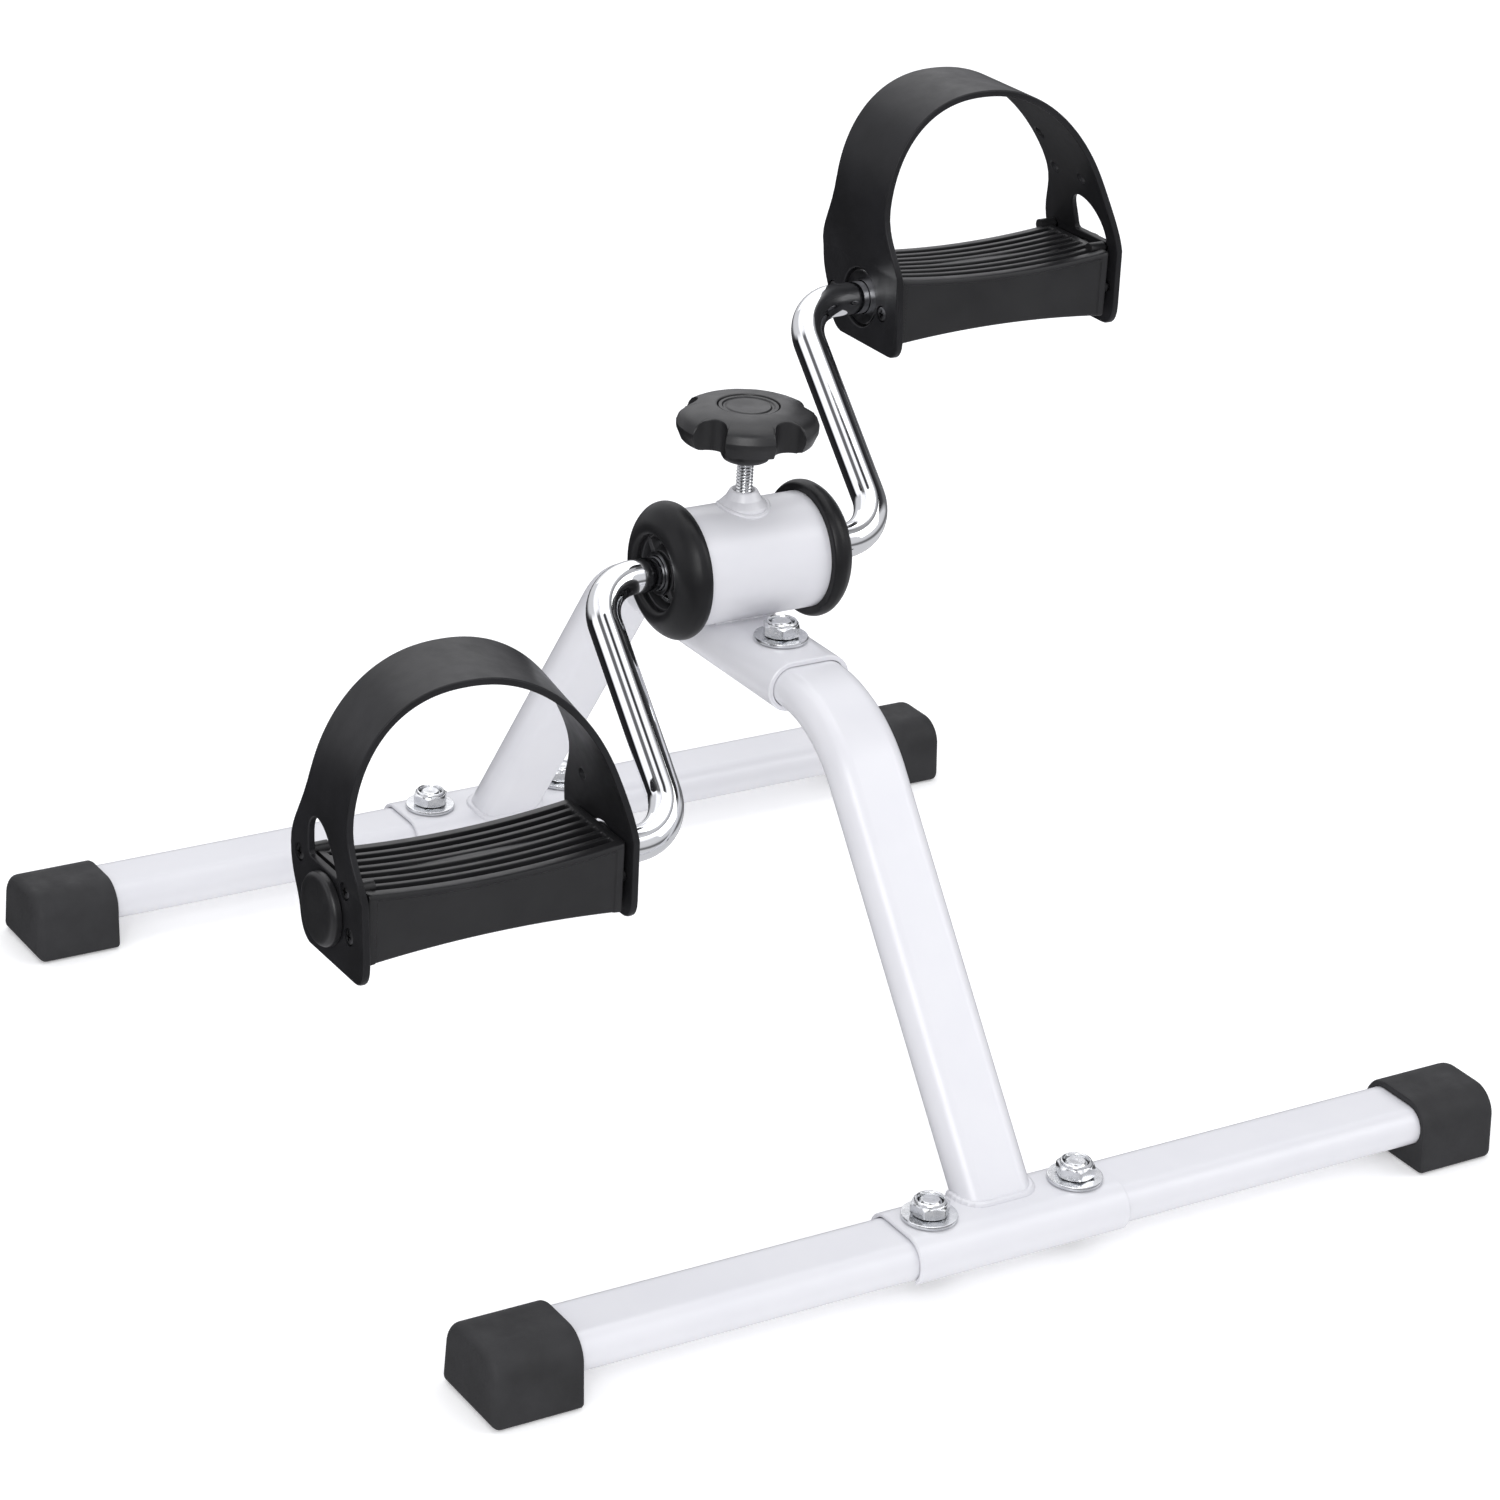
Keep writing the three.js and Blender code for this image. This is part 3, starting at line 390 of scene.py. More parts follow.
def bead(path, radius, ripple=0.16):
    """A weld bead round a closed path, with the ripples of the weld pool."""
    pitch = 2.2
    rings = []
    travelled = 0
    middle = sum(path, Vector()) / len(path)
    for i, point in enumerate(path):
        ahead = path[(i + 1) % len(path)]
        direction = (ahead - path[i - 1]).normalized()
        outward = (point - middle).cross(direction).cross(direction).normalized()
        side = direction.cross(outward)
        size = radius * (1 + ripple * sin(2 * pi * travelled / pitch))
        rings.append([point + outward * u * size + side * v * size for u, v in circle(1, 10)])
        travelled += (ahead - point).length
    return loft(rings, around=True)


def threaded(radius, start, end, pitch):
    """A right-hand screw thread about Z, fading into its two ends."""
    depth, sides, rows_per_turn = 0.55, 30, 8
    count = round((end - start) / pitch * rows_per_turn)
    rings = [[(0, 0, start)] * sides]
    for i in range(count + 1):
        along = start + (end - start) * i / count
        fade = min(1, (along - start) / pitch, (end - along) / pitch)
        row = []
        for k in range(sides):
            phase = (along / pitch - k / sides) % 1
            cut = depth * (1 - abs(2 * phase - 1) ** 0.8)
            here = radius - depth * 0.8 * (1 - fade) - cut * fade
            row.append((here * cos(2 * pi * k / sides), here * sin(2 * pi * k / sides), along))
        rings.append(row)
    rings.append([(0, 0, end)] * sides)
    return loft(rings, ends=False)


# ---- materials ----

def wire(tree, target, values):
    """Sets a node's inputs, and links those whose value is another node's output."""
    for key, value in values.items():
        if isinstance(value, bpy.types.NodeSocket):
            tree.links.new(value, target.inputs[key])
        else:
            target.inputs[key].default_value = value
    return target


def node(tree, kind, inputs=None, **settings):
    made = tree.nodes.new(kind)
    for key, value in settings.items():
        setattr(made, key, value)
    return wire(tree, made, inputs or {})


def noise(tree, place, scale, detail=3):
    inputs = {"Vector": place, "Scale": scale, "Detail": detail, "Roughness": 0.55}
    return node(tree, "ShaderNodeTexNoise", inputs).outputs["Fac"]


def mixed_colour(tree, factor, first, second):
    inputs = {"Factor": factor, 6: first, 7: second}
    return node(tree, "ShaderNodeMix", inputs, data_type="RGBA").outputs[2]


def ramped(tree, value, stops):
    """A colour that follows (position, colour) stops; one number stands for a grey."""
    ramp = node(tree, "ShaderNodeValToRGB", {"Fac": value})
    made = ramp.color_ramp.elements
    for element, (position, _) in zip(made, (stops[0], stops[-1])):
        element.position = position
    for position, _ in stops[1:-1]:
        made.new(position)
    for element, (_, colour) in zip(made, stops):
        element.color = (*colour, 1) if isinstance(colour, tuple) else (colour, colour, colour, 1)
    return ramp.outputs["Color"]


def finish(name, slot, dark, light, rough, bumps, patch=45, metallic=0, **sockets):
    """A finish and its slot. Colour and gloss drift over patches, and each bump is (scale, depth in mm)."""
    material = bpy.data.materials.new(name)
    material.use_nodes = True
    tree = material.node_tree
    place = node(tree, "ShaderNodeTexCoord").outputs["Object"]
    colour = ramped(tree, noise(tree, place, patch), ((0.3, dark), (0.7, light)))
    gloss = node(tree, "ShaderNodeMapRange", {
        "Value": noise(tree, place, patch * 3.1, detail=5), "From Min": 0.3, "From Max": 0.7,
        "To Min": rough[0], "To Max": rough[1]}).outputs["Result"]
    normal = {}
    for scale, depth in bumps:
        inputs = {"Height": noise(tree, place, scale), "Strength": 1, "Distance": depth * MM, **normal}
        normal = {"Normal": node(tree, "ShaderNodeBump", inputs).outputs["Normal"]}
    values = {key.replace("_", " "): value for key, value in sockets.items()}
    wire(tree, tree.nodes["Principled BSDF"],
         {"Base Color": colour, "Roughness": gloss, "Metallic": metallic, **normal, **values})
    return material, slot


WHITE_PAINT = finish("white_powder_coat", "white_paint", (0.7, 0.7, 0.735), (0.72, 0.72, 0.75), (0.3, 0.38),
                     ((160, 0.006), (2200, 0.0012)), Coat_Weight=0.3, Coat_Roughness=0.22)
MOULDED_BLACK = finish("moulded_black", "black_plastic", (0.01, 0.01, 0.011), (0.015, 0.015, 0.016),
                       (0.3, 0.42), ((1900, 0.02), (300, 0.012)), Specular_IOR_Level=0.42)
STRAP_BLACK = finish("strap_black", "black_plastic", (0.011, 0.011, 0.012), (0.016, 0.016, 0.018),
                     (0.3, 0.4), ((1300, 0.012), (120, 0.03)), Specular_IOR_Level=0.2)
RUBBER = finish("matt_rubber", "rubber", (0.022, 0.022, 0.023), (0.032, 0.032, 0.034), (0.55, 0.72),
                ((1600, 0.03), (240, 0.03)), Specular_IOR_Level=0.25)
SMOOTH_RUBBER = finish("smooth_rubber", "rubber", (0.011, 0.011, 0.012), (0.015, 0.015, 0.016),
                       (0.28, 0.38), ((1600, 0.012), (240, 0.015)), Specular_IOR_Level=0.17)
CHROME = finish("chrome_plate", "chrome", (0.8, 0.81, 0.83), (0.86, 0.87, 0.88), (0.035, 0.075),
                ((60, 0.02),), metallic=1)
ZINC = finish("bright_zinc", "zinc", (0.6, 0.61, 0.63), (0.76, 0.77, 0.78), (0.14, 0.3),
              ((900, 0.03), (2600, 0.01)), patch=260, metallic=1)
BLACK_STEEL = finish("black_oxide", "black_steel", (0.07, 0.07, 0.073), (0.12, 0.12, 0.125), (0.28, 0.42),
                     ((1400, 0.02),), patch=200, metallic=1)
NYLON = finish("black_nylon", "nylon", (0.024, 0.024, 0.026), (0.04, 0.04, 0.043), (0.45, 0.58),
               ((1500, 0.05),))


# ---- putting a piece in the scene ----

def piece(node_name, bm, look, body, sharp=32, name=None):
    """Makes a piece, which rides on a body and stands for a CAD node, and is named after it unless told."""
    name = f"fine_{name or node_name}"
    material, slot = look
    bm.transform(Matrix.Scale(MM, 4))
    mesh = mesh_of(name, bm)
    mesh.polygons.foreach_set("use_smooth", [True] * len(mesh.polygons))
    mesh.set_sharp_from_angle(angle=radians(sharp))
    mesh.materials.append(material)
    made = linked(name, mesh)
    normals = made.modifiers.new("normals", "WEIGHTED_NORMAL")
    normals.keep_sharp = True
    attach(made, body)
    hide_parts(node_name)


# ---- stand: bars, caps, fasteners ----

def foot_bar(end):
    middle = (BAR_Y[end], BAR_Z)
    outside = flat_oval(TUBE_WIDTH, TUBE_HEIGHT, middle)
    inside = flat_oval(TUBE_WIDTH - 2 * TUBE_WALL, TUBE_HEIGHT - 2 * TUBE_WALL, middle)
    length = BAR_HALF_LENGTH
    stations = ((-length, outside), (length, outside), (length, inside), (-length, inside))
    return loft([[(x, u, v) for u, v in outline] for x, outline in stations], around=True)


def foot_cap():
    """The right-hand cap, drawn about the bar's middle."""
    low, high = box_mm("foot_cap_front_right")
    half = (high.y - low.y) / 2
    shoulder, flat, corner = 11, 6.4, 1.6
    outline = [
        *arc(corner, 180, 270, 4, (-half + corner, corner)),
        *arc(corner, 270, 360, 4, (half - corner, corner)),
        *arc(shoulder, 0, 90, 10, (flat, high.z - shoulder)),
        *arc(shoulder, 90, 180, 10, (-flat, high.z - shoulder)),
    ]
    pocket = flat_oval(TUBE_WIDTH + SLEEVE, TUBE_HEIGHT + SLEEVE, (0, BAR_Z), steps=10)
    middle = Vector((0, high.z / 2))

    def shrunk(inset):
        wide = 1 - inset / half
        tall = 1 - inset / (high.z / 2)
        return [(u * wide, middle.y + (v - middle.y) * tall) for u, v in outline]

    mouth, end = low.x, high.x
    soft = 3.2
    outer = [(mouth, 1.0), (mouth + 0.3, 0.35), (mouth + 1, 0)]
    outer += [(end - soft * (1 - sin(radians(a))), soft * (1 - cos(radians(a)))) for a in range(0, 91, 15)]
    outside = loft([[(x, u, v) for u, v in shrunk(inset)] for x, inset in outer])
    hollow = loft([[(x, u, v) for u, v in pocket] for x in (mouth - 1, end - 3.6)])
    return combined(outside, ("DIFFERENCE", hollow))


def on_node(bm, node_name):
    """Moves a fastener drawn about Z, from 0 up, to its CAD node."""
    middle, low = middle_mm(node_name), box_mm(node_name)[0]
    return moved(bm, middle.x, middle.y, low.z)


def bolt(node_name):
    low, high = box_mm(node_name)
    head, radius, length = 4.2, 4, high.z - low.z
    profile = [(0, 0), *smooth([(0.4, 0), (4.5, 0.5), (7.2, 1.9), (8.3, 3.6)], 5), (8.5, head - 0.2),
               (8.2, head), (radius, head), (radius, length - 0.8), (radius - 0.7, length - 0.1),
               (radius - 1, length), (1, length - 0.15), (0, length - 0.15)]
    return on_node(lathe(profile, sides=48), node_name)


def washer(node_name):
    low, high = box_mm(node_name)
    hole, outer = 4.4, (high.x - low.x) / 2
    return on_node(ring(hole, outer, 0, high.z - low.z, "Z", 72, 0.45), node_name)


NUT_FLAT = 6.32
NUT_COLLAR = 5.7


def lock_nut(node_name, turn):
    """A hexagon with chamfered corners under a rolled collar; `turn` is in degrees."""
    low, high = box_mm(node_name)
    height = high.z - low.z
    hex_top = height - 1.3
    slope = tan(radians(30))
    columns = []
    for k in range(96):
        angle = 2 * pi * k / 96
        from_flat = (angle + pi / 6) % (pi / 3) - pi / 6
        side = min(NUT_FLAT / cos(from_flat), NUT_FLAT * 1.14)
        drop = (side - NUT_FLAT) * slope + 0.15
        profile = (
            (4.3, 0.5), (4.9, 0), (NUT_FLAT * 0.97, 0), (side, drop), (side, hex_top - drop),
            (NUT_FLAT * 0.985, hex_top + 0.05), (NUT_COLLAR + 0.25, hex_top + 0.12),
            (NUT_COLLAR, hex_top + 0.35), (NUT_COLLAR, height - 0.55), (NUT_COLLAR - 0.2, height - 0.15),
            (NUT_COLLAR - 0.6, height), (NUT_COLLAR - 0.95, height - 0.25), (4.35, height - 1.2),
            (4.3, height - 2.2),
        )
        turned = angle + radians(turn)
        columns.append([(radius * cos(turned), radius * sin(turned), z) for radius, z in profile])
    return on_node(loft([list(row) for row in zip(*columns)], around=True), node_name)


def make_fastener(kind, place, turn):
    for part, draw in (("bolt", bolt), ("washer", washer)):
        name = f"{kind}_{part}_{place}"
        piece(name, draw(name), ZINC, "frame")
    name = f"{kind}_nut_{place}"
    piece(name, lock_nut(name, turn), ZINC, "frame", sharp=24)


def make_stand():
    for end, _ in ENDS:
        piece(f"{end}_foot_bar", foot_bar(end), WHITE_PAINT, "frame")
        for side, side_x in SIDES:
            cap = moved(mirrored(foot_cap(), side_x), y=BAR_Y[end])
            piece(f"foot_cap_{end}_{side}", cap, RUBBER, "frame")
    for kind, place, turn in (("foot", "front_left", 12), ("foot", "front_right", 40),
                              ("foot", "rear_left", 25), ("foot", "rear_right", 4),
                              ("socket", "front", 33), ("socket", "rear", 50)):
        make_fastener(kind, place, turn)


# ---- legs ----

def saddle(bar_y):
    """The channel over the bar: an arched section with round lips, and softened ends."""
    reach = (TUBE_WIDTH - TUBE_HEIGHT) / 2
    lip_angle = -44

    def section(thickness):
        lip = (reach + SADDLE_ARC * cos(radians(lip_angle)), SADDLE_ARC * sin(radians(lip_angle)))
        right = arc(SADDLE_ARC - thickness / 2, 90, lip_angle, 14, (reach, 0))
        right += arc(thickness / 2, lip_angle + 180, lip_angle + 360, 4, lip)[1:-1]
        right += arc(SADDLE_ARC + thickness / 2, lip_angle, 90, 14, (reach, 0))
        points = right + [(-u, v) for u, v in reversed(right)]
        return [(bar_y + u, BAR_Z + v) for u, v in points]

    end, soft = SADDLE_HALF_LENGTH, 0.4
    stations = ((-end, SADDLE_WALL - 2 * soft), (soft - end, SADDLE_WALL),
                (end - soft, SADDLE_WALL), (end, SADDLE_WALL - 2 * soft))
    return loft([[(x, u, v) for u, v in section(thickness)] for x, thickness in stations])


def saddle_surface(y, bar_y):
    """Height of the saddle's outside at y."""
    radius = SADDLE_ARC + SADDLE_WALL / 2
    past = max(0, abs(y - bar_y) - (TUBE_WIDTH - TUBE_HEIGHT) / 2)
    return BAR_Z + sqrt(max(0, radius ** 2 - past ** 2))


def leg(end, side_y):
    foot_y, bend_y, bend_radius = LEGS[end]
    bar_y = BAR_Y[end]
    foot = Vector((0, foot_y, SADDLE_TOP))
    bend = Vector((0, bend_y, SOCKET_Z))
    up_leg = (bend - foot).normalized()
    top_y = CRANK.y + side_y * 1.5
    route = bent_route([foot - up_leg * 20, bend, (0, top_y, SOCKET_Z)], bend_radius, 24)
    tube = sweep(flat_oval(TUBE_WIDTH, TUBE_HEIGHT, steps=16), route, (1, 0, 0))
    wider = SLEEVE + SADDLE_WALL
    inside = flat_oval(TUBE_WIDTH + wider, TUBE_HEIGHT + wider, (bar_y, BAR_Z))
    below = block((-60, bar_y - 60, -40), (60, bar_y + 60, BAR_Z))
    tube = combined(tube, ("DIFFERENCE", prism(inside, -60, 60, edge=0)), ("DIFFERENCE", below))
    side = Vector((1, 0, 0)).cross(up_leg)
    path = []
    for u, v in flat_oval(TUBE_WIDTH, TUBE_HEIGHT, steps=26):
        start = foot + Vector((u, 0, 0)) + side * v
        low, high = -14.0, 14.0
        for _ in range(24):
            middle = (low + high) / 2
            here = start + up_leg * middle
            if here.z < saddle_surface(here.y, bar_y):
                low = middle
            else:
                high = middle
        path.append(start + up_leg * low)
    return merged(saddle(bar_y), tube, bead(evenly(path, 1.1), 1.5))


def evenly(path, step):
    """Points a fixed step apart round a closed path."""
    closed = [*path, path[0]]
    lengths = [0]
    for a, b in zip(closed, closed[1:]):
        lengths.append(lengths[-1] + (b - a).length)
    count = round(lengths[-1] / step)
    made = []
    for i in range(count):
        along = lengths[-1] * i / count
        k = bisect_right(lengths, along) - 1
        share = (along - lengths[k]) / max(lengths[k + 1] - lengths[k], 1e-9)
        made.append(closed[k].lerp(closed[k + 1], share))
    return made


def make_legs():
    for end, side_y in ENDS:
        piece(f"{end}_leg", leg(end, side_y), WHITE_PAINT, "frame")


# ---- crank housing ----

def housing():
    end = BARREL_HALF_LENGTH
    profile = rounded([(0, -end), (BARREL_RADIUS, -end, 0.4), (BARREL_RADIUS, end, 0.4), (0, end)])
    barrel = moved(lathe(profile, "X", 96), 0, CRANK.y, CRANK.z)
    low, high = box_mm("housing")
    socket = prism(flat_oval(SOCKET_WIDTH, SOCKET_HEIGHT, (0, SOCKET_Z), 16), low.y, high.y, "Y")
    hollow = prism(flat_oval(TUBE_WIDTH + SLEEVE, TUBE_HEIGHT + SLEEVE, (0, SOCKET_Z), 16),
                   low.y - 1, high.y + 1, "Y", 0)
    top = high.z
    boss = moved(lathe(rounded([
        (0, CRANK.z + 10), (9, CRANK.z + 10), (9, top - 5.6, 0.7), (7.9, top - 4.4, 0.8),
        (6.7, top - 3.2, 1), (5.3, top - 0.5, 0.3), (4.9, top, 0.2), (0, top)]), sides=64), 0, CRANK.y, 0)
    mouth = lathe([(0, top - 1.2), (3.6, top - 1.2), (4.6, top + 0.6), (0, top + 0.6)], sides=48)
    mouth = moved(mouth, y=CRANK.y)
    bore = rod(BARREL_BORE, -end - 1, end + 1, "X", 96, (0, CRANK.y, CRANK.z))
    stud_hole = rod(STUD_RADIUS + 0.35, CRANK.z + 5, top + 1, sides=48, at=(0, CRANK.y, 0))
    shell = combined(barrel, ("UNION", socket), ("UNION", boss), ("DIFFERENCE", bore),
                     ("DIFFERENCE", hollow), ("DIFFERENCE", stud_hole), ("DIFFERENCE", mouth))
    return merged(shell, bead(evenly(socket_seam(), 1.1), 1.5), bead(evenly(boss_seam(), 1.0), 0.9, 0.1))


def socket_seam():
    """Where the barrel's underside meets the socket."""
    path = []
    for u, v in circle(1, 72):
        reach = 1.0
        for _ in range(40):
            x, y = 16 * u * reach, 14 * v * reach
            barrel_z = CRANK.z - sqrt(BARREL_RADIUS ** 2 - y * y)
            past = max(0, abs(x) - (SOCKET_WIDTH - SOCKET_HEIGHT) / 2)
            socket_z = SOCKET_Z + sqrt(max(0, (SOCKET_HEIGHT / 2) ** 2 - past ** 2))
            if socket_z > barrel_z:
                break
            reach -= 0.02
        path.append(Vector((x, CRANK.y + y, min(barrel_z, socket_z + 1))))
    return path


def boss_seam():
    """Round the foot of the boss, on the barrel."""
    return [Vector((u, CRANK.y + v, CRANK.z + sqrt(BARREL_RADIUS ** 2 - v ** 2))) for u, v in circle(9.2, 72)]


def end_cap():
    fit = BARREL_RADIUS + GAP
    seat = BARREL_HALF_LENGTH + GAP
    mouth = box_mm("end_cap_right")[0].x
    outside = smooth([(24.3, mouth), (24.9, mouth + 0.4), (25.5, mouth + 1.8), (25.6, mouth + 3.2),
                      (25, 31.2), (22.8, 34), (19.4, 36.35), (16.4, 37.15), (14.7, 36.7), (14, 35.6)], 5)
    profile = [(fit, mouth), *outside, (14, seat), (fit, seat)]
    return lathe(profile, "X", 96, around=True)


BEARING_FACE = BARREL_HALF_LENGTH - 0.4


def bearing():
    spokes, hub, window, half_web = 4, 8.4, 13.4, 1.3
    outlines = [circle(BARREL_BORE - GAP, 64), circle(ROD_BORE, 40)]
    for i in range(spokes):
        start, end = 360 * (i + 0.5) / spokes, 360 * (i + 1.5) / spokes
        outer_web, inner_web = degrees(half_web / window), degrees(half_web / hub)
        outlines.append(arc(window, start + outer_web, end - outer_web, 14)
                        + arc(hub, end - inner_web, start + inner_web, 10))
    length = 9
    disc = flat_sheet(outlines, length, 0.35)
    disc.transform(Matrix.Rotation(pi / 2, 4, "Y") @ Matrix.Rotation(pi / 2, 4, "Z"))
    return moved(disc, BEARING_FACE - length / 2)


def make_housing():
    piece("housing", housing(), WHITE_PAINT, "frame")
    race = 10.2, 11.8, BEARING_FACE - 8, BEARING_FACE - 2.4
    for side, side_x in SIDES:
        def place(node_name, bm, look, name=None):
            piece(node_name, moved(mirrored(bm, side_x), y=CRANK.y, z=CRANK.z), look, "frame", name=name)

        place(f"end_cap_{side}", end_cap(), SMOOTH_RUBBER)
        place(f"bearing_{side}", bearing(), NYLON)
        place(f"bearing_{side}", ring(*race), ZINC, f"bearing_race_{side}")


# ---- crank ----

def crank_rod():
    left, right = AXLES["left"], AXLES["right"]
    corners = [
        (-AXLE_END, left.y, left.z), (-ARM_X_AT_PEDAL, left.y, left.z),
        (-ARM_X_AT_BARREL, CRANK.y, CRANK.z), (ARM_X_AT_BARREL, CRANK.y, CRANK.z),
        (ARM_X_AT_PEDAL, right.y, right.z), (AXLE_END, right.y, right.z),
    ]
    route = bent_route(corners, ROD_BEND, 16)
    across = Vector((1, 0, 0)).cross(right - CRANK).normalized()
    chamfer = 0.8
    (first, first_way), *between, (last, last_way) = route
    stations = [(first, first_way, ROD_RADIUS - chamfer),
                (first + first_way * chamfer, first_way, ROD_RADIUS)]
    stations += [(point, direction, ROD_RADIUS) for point, direction in between]
    stations += [(last - last_way * chamfer, last_way, ROD_RADIUS), (last, last_way, ROD_RADIUS - chamfer)]
    rings = []
    for point, direction, radius in stations:
        up = across.cross(direction)
        rings.append([point + (across * u + up * v) * radius for u, v in circle(1, 48)])
    return loft(rings)


def make_ring(node_name, centre, look):
    """A turned ring on the rod, as thick and as wide as its CAD node."""
    low, high = box_mm(node_name)
    made = moved(ring(ROD_BORE, (high.y - low.y) / 2, low.x, high.x, edge=0.35), 0, centre.y, centre.z)
    piece(node_name, made, look, "crank")


def make_crank():
    piece("crank_rod", crank_rod(), CHROME, "crank")
    for side, _ in SIDES:
        make_ring(f"shaft_clip_{side}", CRANK, BLACK_STEEL)
        make_ring(f"axle_washer_{side}", AXLES[side], BLACK_STEEL)
        make_ring(f"push_nut_{side}", AXLES[side], ZINC)


# ---- brake knob ----

KNOB_LOBES = 5
KNOB_LOBE_ANGLE = -118.5
FLUTE_RADIUS = 6.8
FLUTE_REACH = 26.3
COVER_RADIUS = 11.5
DOME = ((11, 0), (13.5, 0), (16.6, -0.3), (19.8, -1), (23.4, -2.6), (25.3, -4.6), (25.9, -6.4), (26, -7.4))
UNDER = ((10.4, -13), (20, -13), (22.8, -12.95), (24.6, -12.2), (25.7, -10.6), (26, -7.6))


def height_at(profile, radius):
    for (r0, z0), (r1, z1) in zip(profile, profile[1:]):
        if radius <= r1:
            return z0 + (z1 - z0) * (radius - r0) / (r1 - r0)
    return profile[-1][1]


def knob_reach(angle):
    """How far the disc goes from the middle before its rim or a flute's wall."""
    step = 2 * pi / KNOB_LOBES
    off = (angle - radians(KNOB_LOBE_ANGLE)) % step - step / 2
    aside = FLUTE_REACH * sin(off)
    if abs(aside) >= FLUTE_RADIUS:
        return KNOB_RADIUS
    return min(KNOB_RADIUS, FLUTE_REACH * cos(off) - sqrt(FLUTE_RADIUS ** 2 - aside ** 2))


def knob():
    sides = 300
    dome, under = smooth(DOME), smooth(UNDER)
    columns = []
    for k in range(sides):
        angle = 2 * pi * k / sides
        reach = knob_reach(angle)
        wall = height_at(dome, reach) - height_at(under, reach)
        soft = min(0.8, wall / 3)
        column = [(0, -1.8), (COVER_RADIUS, -1.8), (COVER_RADIUS, -0.35),
                  (COVER_RADIUS + 0.15, -0.1), (COVER_RADIUS + 0.5, 0)]
        start = COVER_RADIUS + 0.9
        for share in (0, 0.15, 0.3, 0.45, 0.58, 0.7, 0.8, 0.88, 0.94, 1):
            radius = start + (reach - soft - start) * share
            column.append((radius, height_at(dome, radius)))
        edge_top = height_at(dome, reach - soft)
        column += [(reach - soft * 0.35, edge_top - soft * 0.25), (reach, edge_top - soft)]
        low = height_at(under, reach)
        column += [(reach, low + soft), (reach - soft * 0.35, low + soft * 0.3)]
        for share in (1, 0.9, 0.75, 0.5, 0.25, 0):
            radius = 10.4 + (reach - soft - 10.4) * share
            column.append((radius, height_at(under, radius)))
        bottom = KNOB_BOTTOM - KNOB_TOP
        bore = STUD_RADIUS + GAP
        column += [(9.9, -13.5), (9.3, bottom + 1.9), (9, bottom + 1.2), (8.4, bottom + 0.3),
                   (7.9, bottom), (bore + 0.5, bottom), (bore, bottom + 0.5), (bore, -3.75), (0, -3.75)]
        columns.append([(r * cos(angle), r * sin(angle), KNOB_TOP + z) for r, z in column])
    rings = [list(row) for row in zip(*columns)]
    return moved(loft(rings, ends=False), y=CRANK.y)


def knob_cover():
    low, high = box_mm("knob_cover")
    outer = (high.y - low.y) / 2
    top = high.z
    profile = [(0, low.z), (outer, low.z), (outer, top - 0.3), (outer - 0.3, top), (outer - 1.4, top),
               (outer - 1.9, top - 0.45), (outer - 2.6, top - 0.5), (outer - 3.2, top - 0.1),
               (outer - 5.5, top - 0.25), (outer - 8, top - 0.55), (0, top - 0.6)]
    return moved(lathe(profile, sides=96), y=CRANK.y)


def make_brake():
    low, high = box_mm("adjuster_stud")
    pitch = 1.27
    stud = moved(threaded(STUD_RADIUS, low.z, high.z, pitch), y=CRANK.y)
    piece("adjuster_stud", stud, ZINC, "knob", sharp=50)
    piece("knob", knob(), MOULDED_BLACK, "knob", sharp=38)
    piece("knob_cover", knob_cover(), MOULDED_BLACK, "knob")
    shoe = frame["nodes"]["brake_shoe"]
    shoe.data.materials.clear()
    shoe.data.materials.append(NYLON[0])


# ---- pedals, drawn for the right side about the axle ----

TREAD_DISH = 3
SOLE_ARCH = 2.5
GROOVES = 7
GROOVE_PITCH = 5
GROOVE_SHAPE = ((-1.85, 0), (-1.6, -0.12), (-1.45, -0.45), (-1.3, -2.6), (-0.9, -3.2),
                (0.9, -3.2), (1.3, -2.6), (1.45, -0.45), (1.6, -0.12), (1.85, 0))
TREAD_RIM = 2.5
PANEL_BORDER = 3
PEDAL_WALL = 2.8
TREAD_UNDERSIDE = 5.4


def dished(x, level, sag):
    middle = (PEDAL_INNER + PEDAL_OUTER) / 2
    reach = (PEDAL_OUTER - PEDAL_INNER) / 2
    return level - sag * (1 - ((x - middle) / reach) ** 2)


def pedal_section(x, inset, groove, panel):
    """The block's outline in Y and Z at x; groove is 0 to 1 and panel is how far the long sides sink in."""
    top = dished(x, TREAD_TOP, TREAD_DISH) - inset
    bottom = dished(x, SOLE_BOTTOM, -SOLE_ARCH) + inset
    half = PEDAL_HALF_DEPTH - inset
    corner = 1.3
    wall = half - panel
    front = [(-wall + corner, bottom), (-wall + 0.4, bottom + 0.4), (-wall, bottom + corner),
             (-wall, top - corner - 1.2), (-half, top - corner - 0.7), (-half, top - corner),
             (-half + 0.4, top - 0.4), (-half + corner, top)]
    points = [*front]
    for i in range(GROOVES):
        centre = (i - (GROOVES - 1) / 2) * GROOVE_PITCH
        points += [(centre + dy, top + dz * groove) for dy, dz in GROOVE_SHAPE]
    points += [(-y, z) for y, z in reversed(front)]
    return [(x, u, v) for u, v in points]


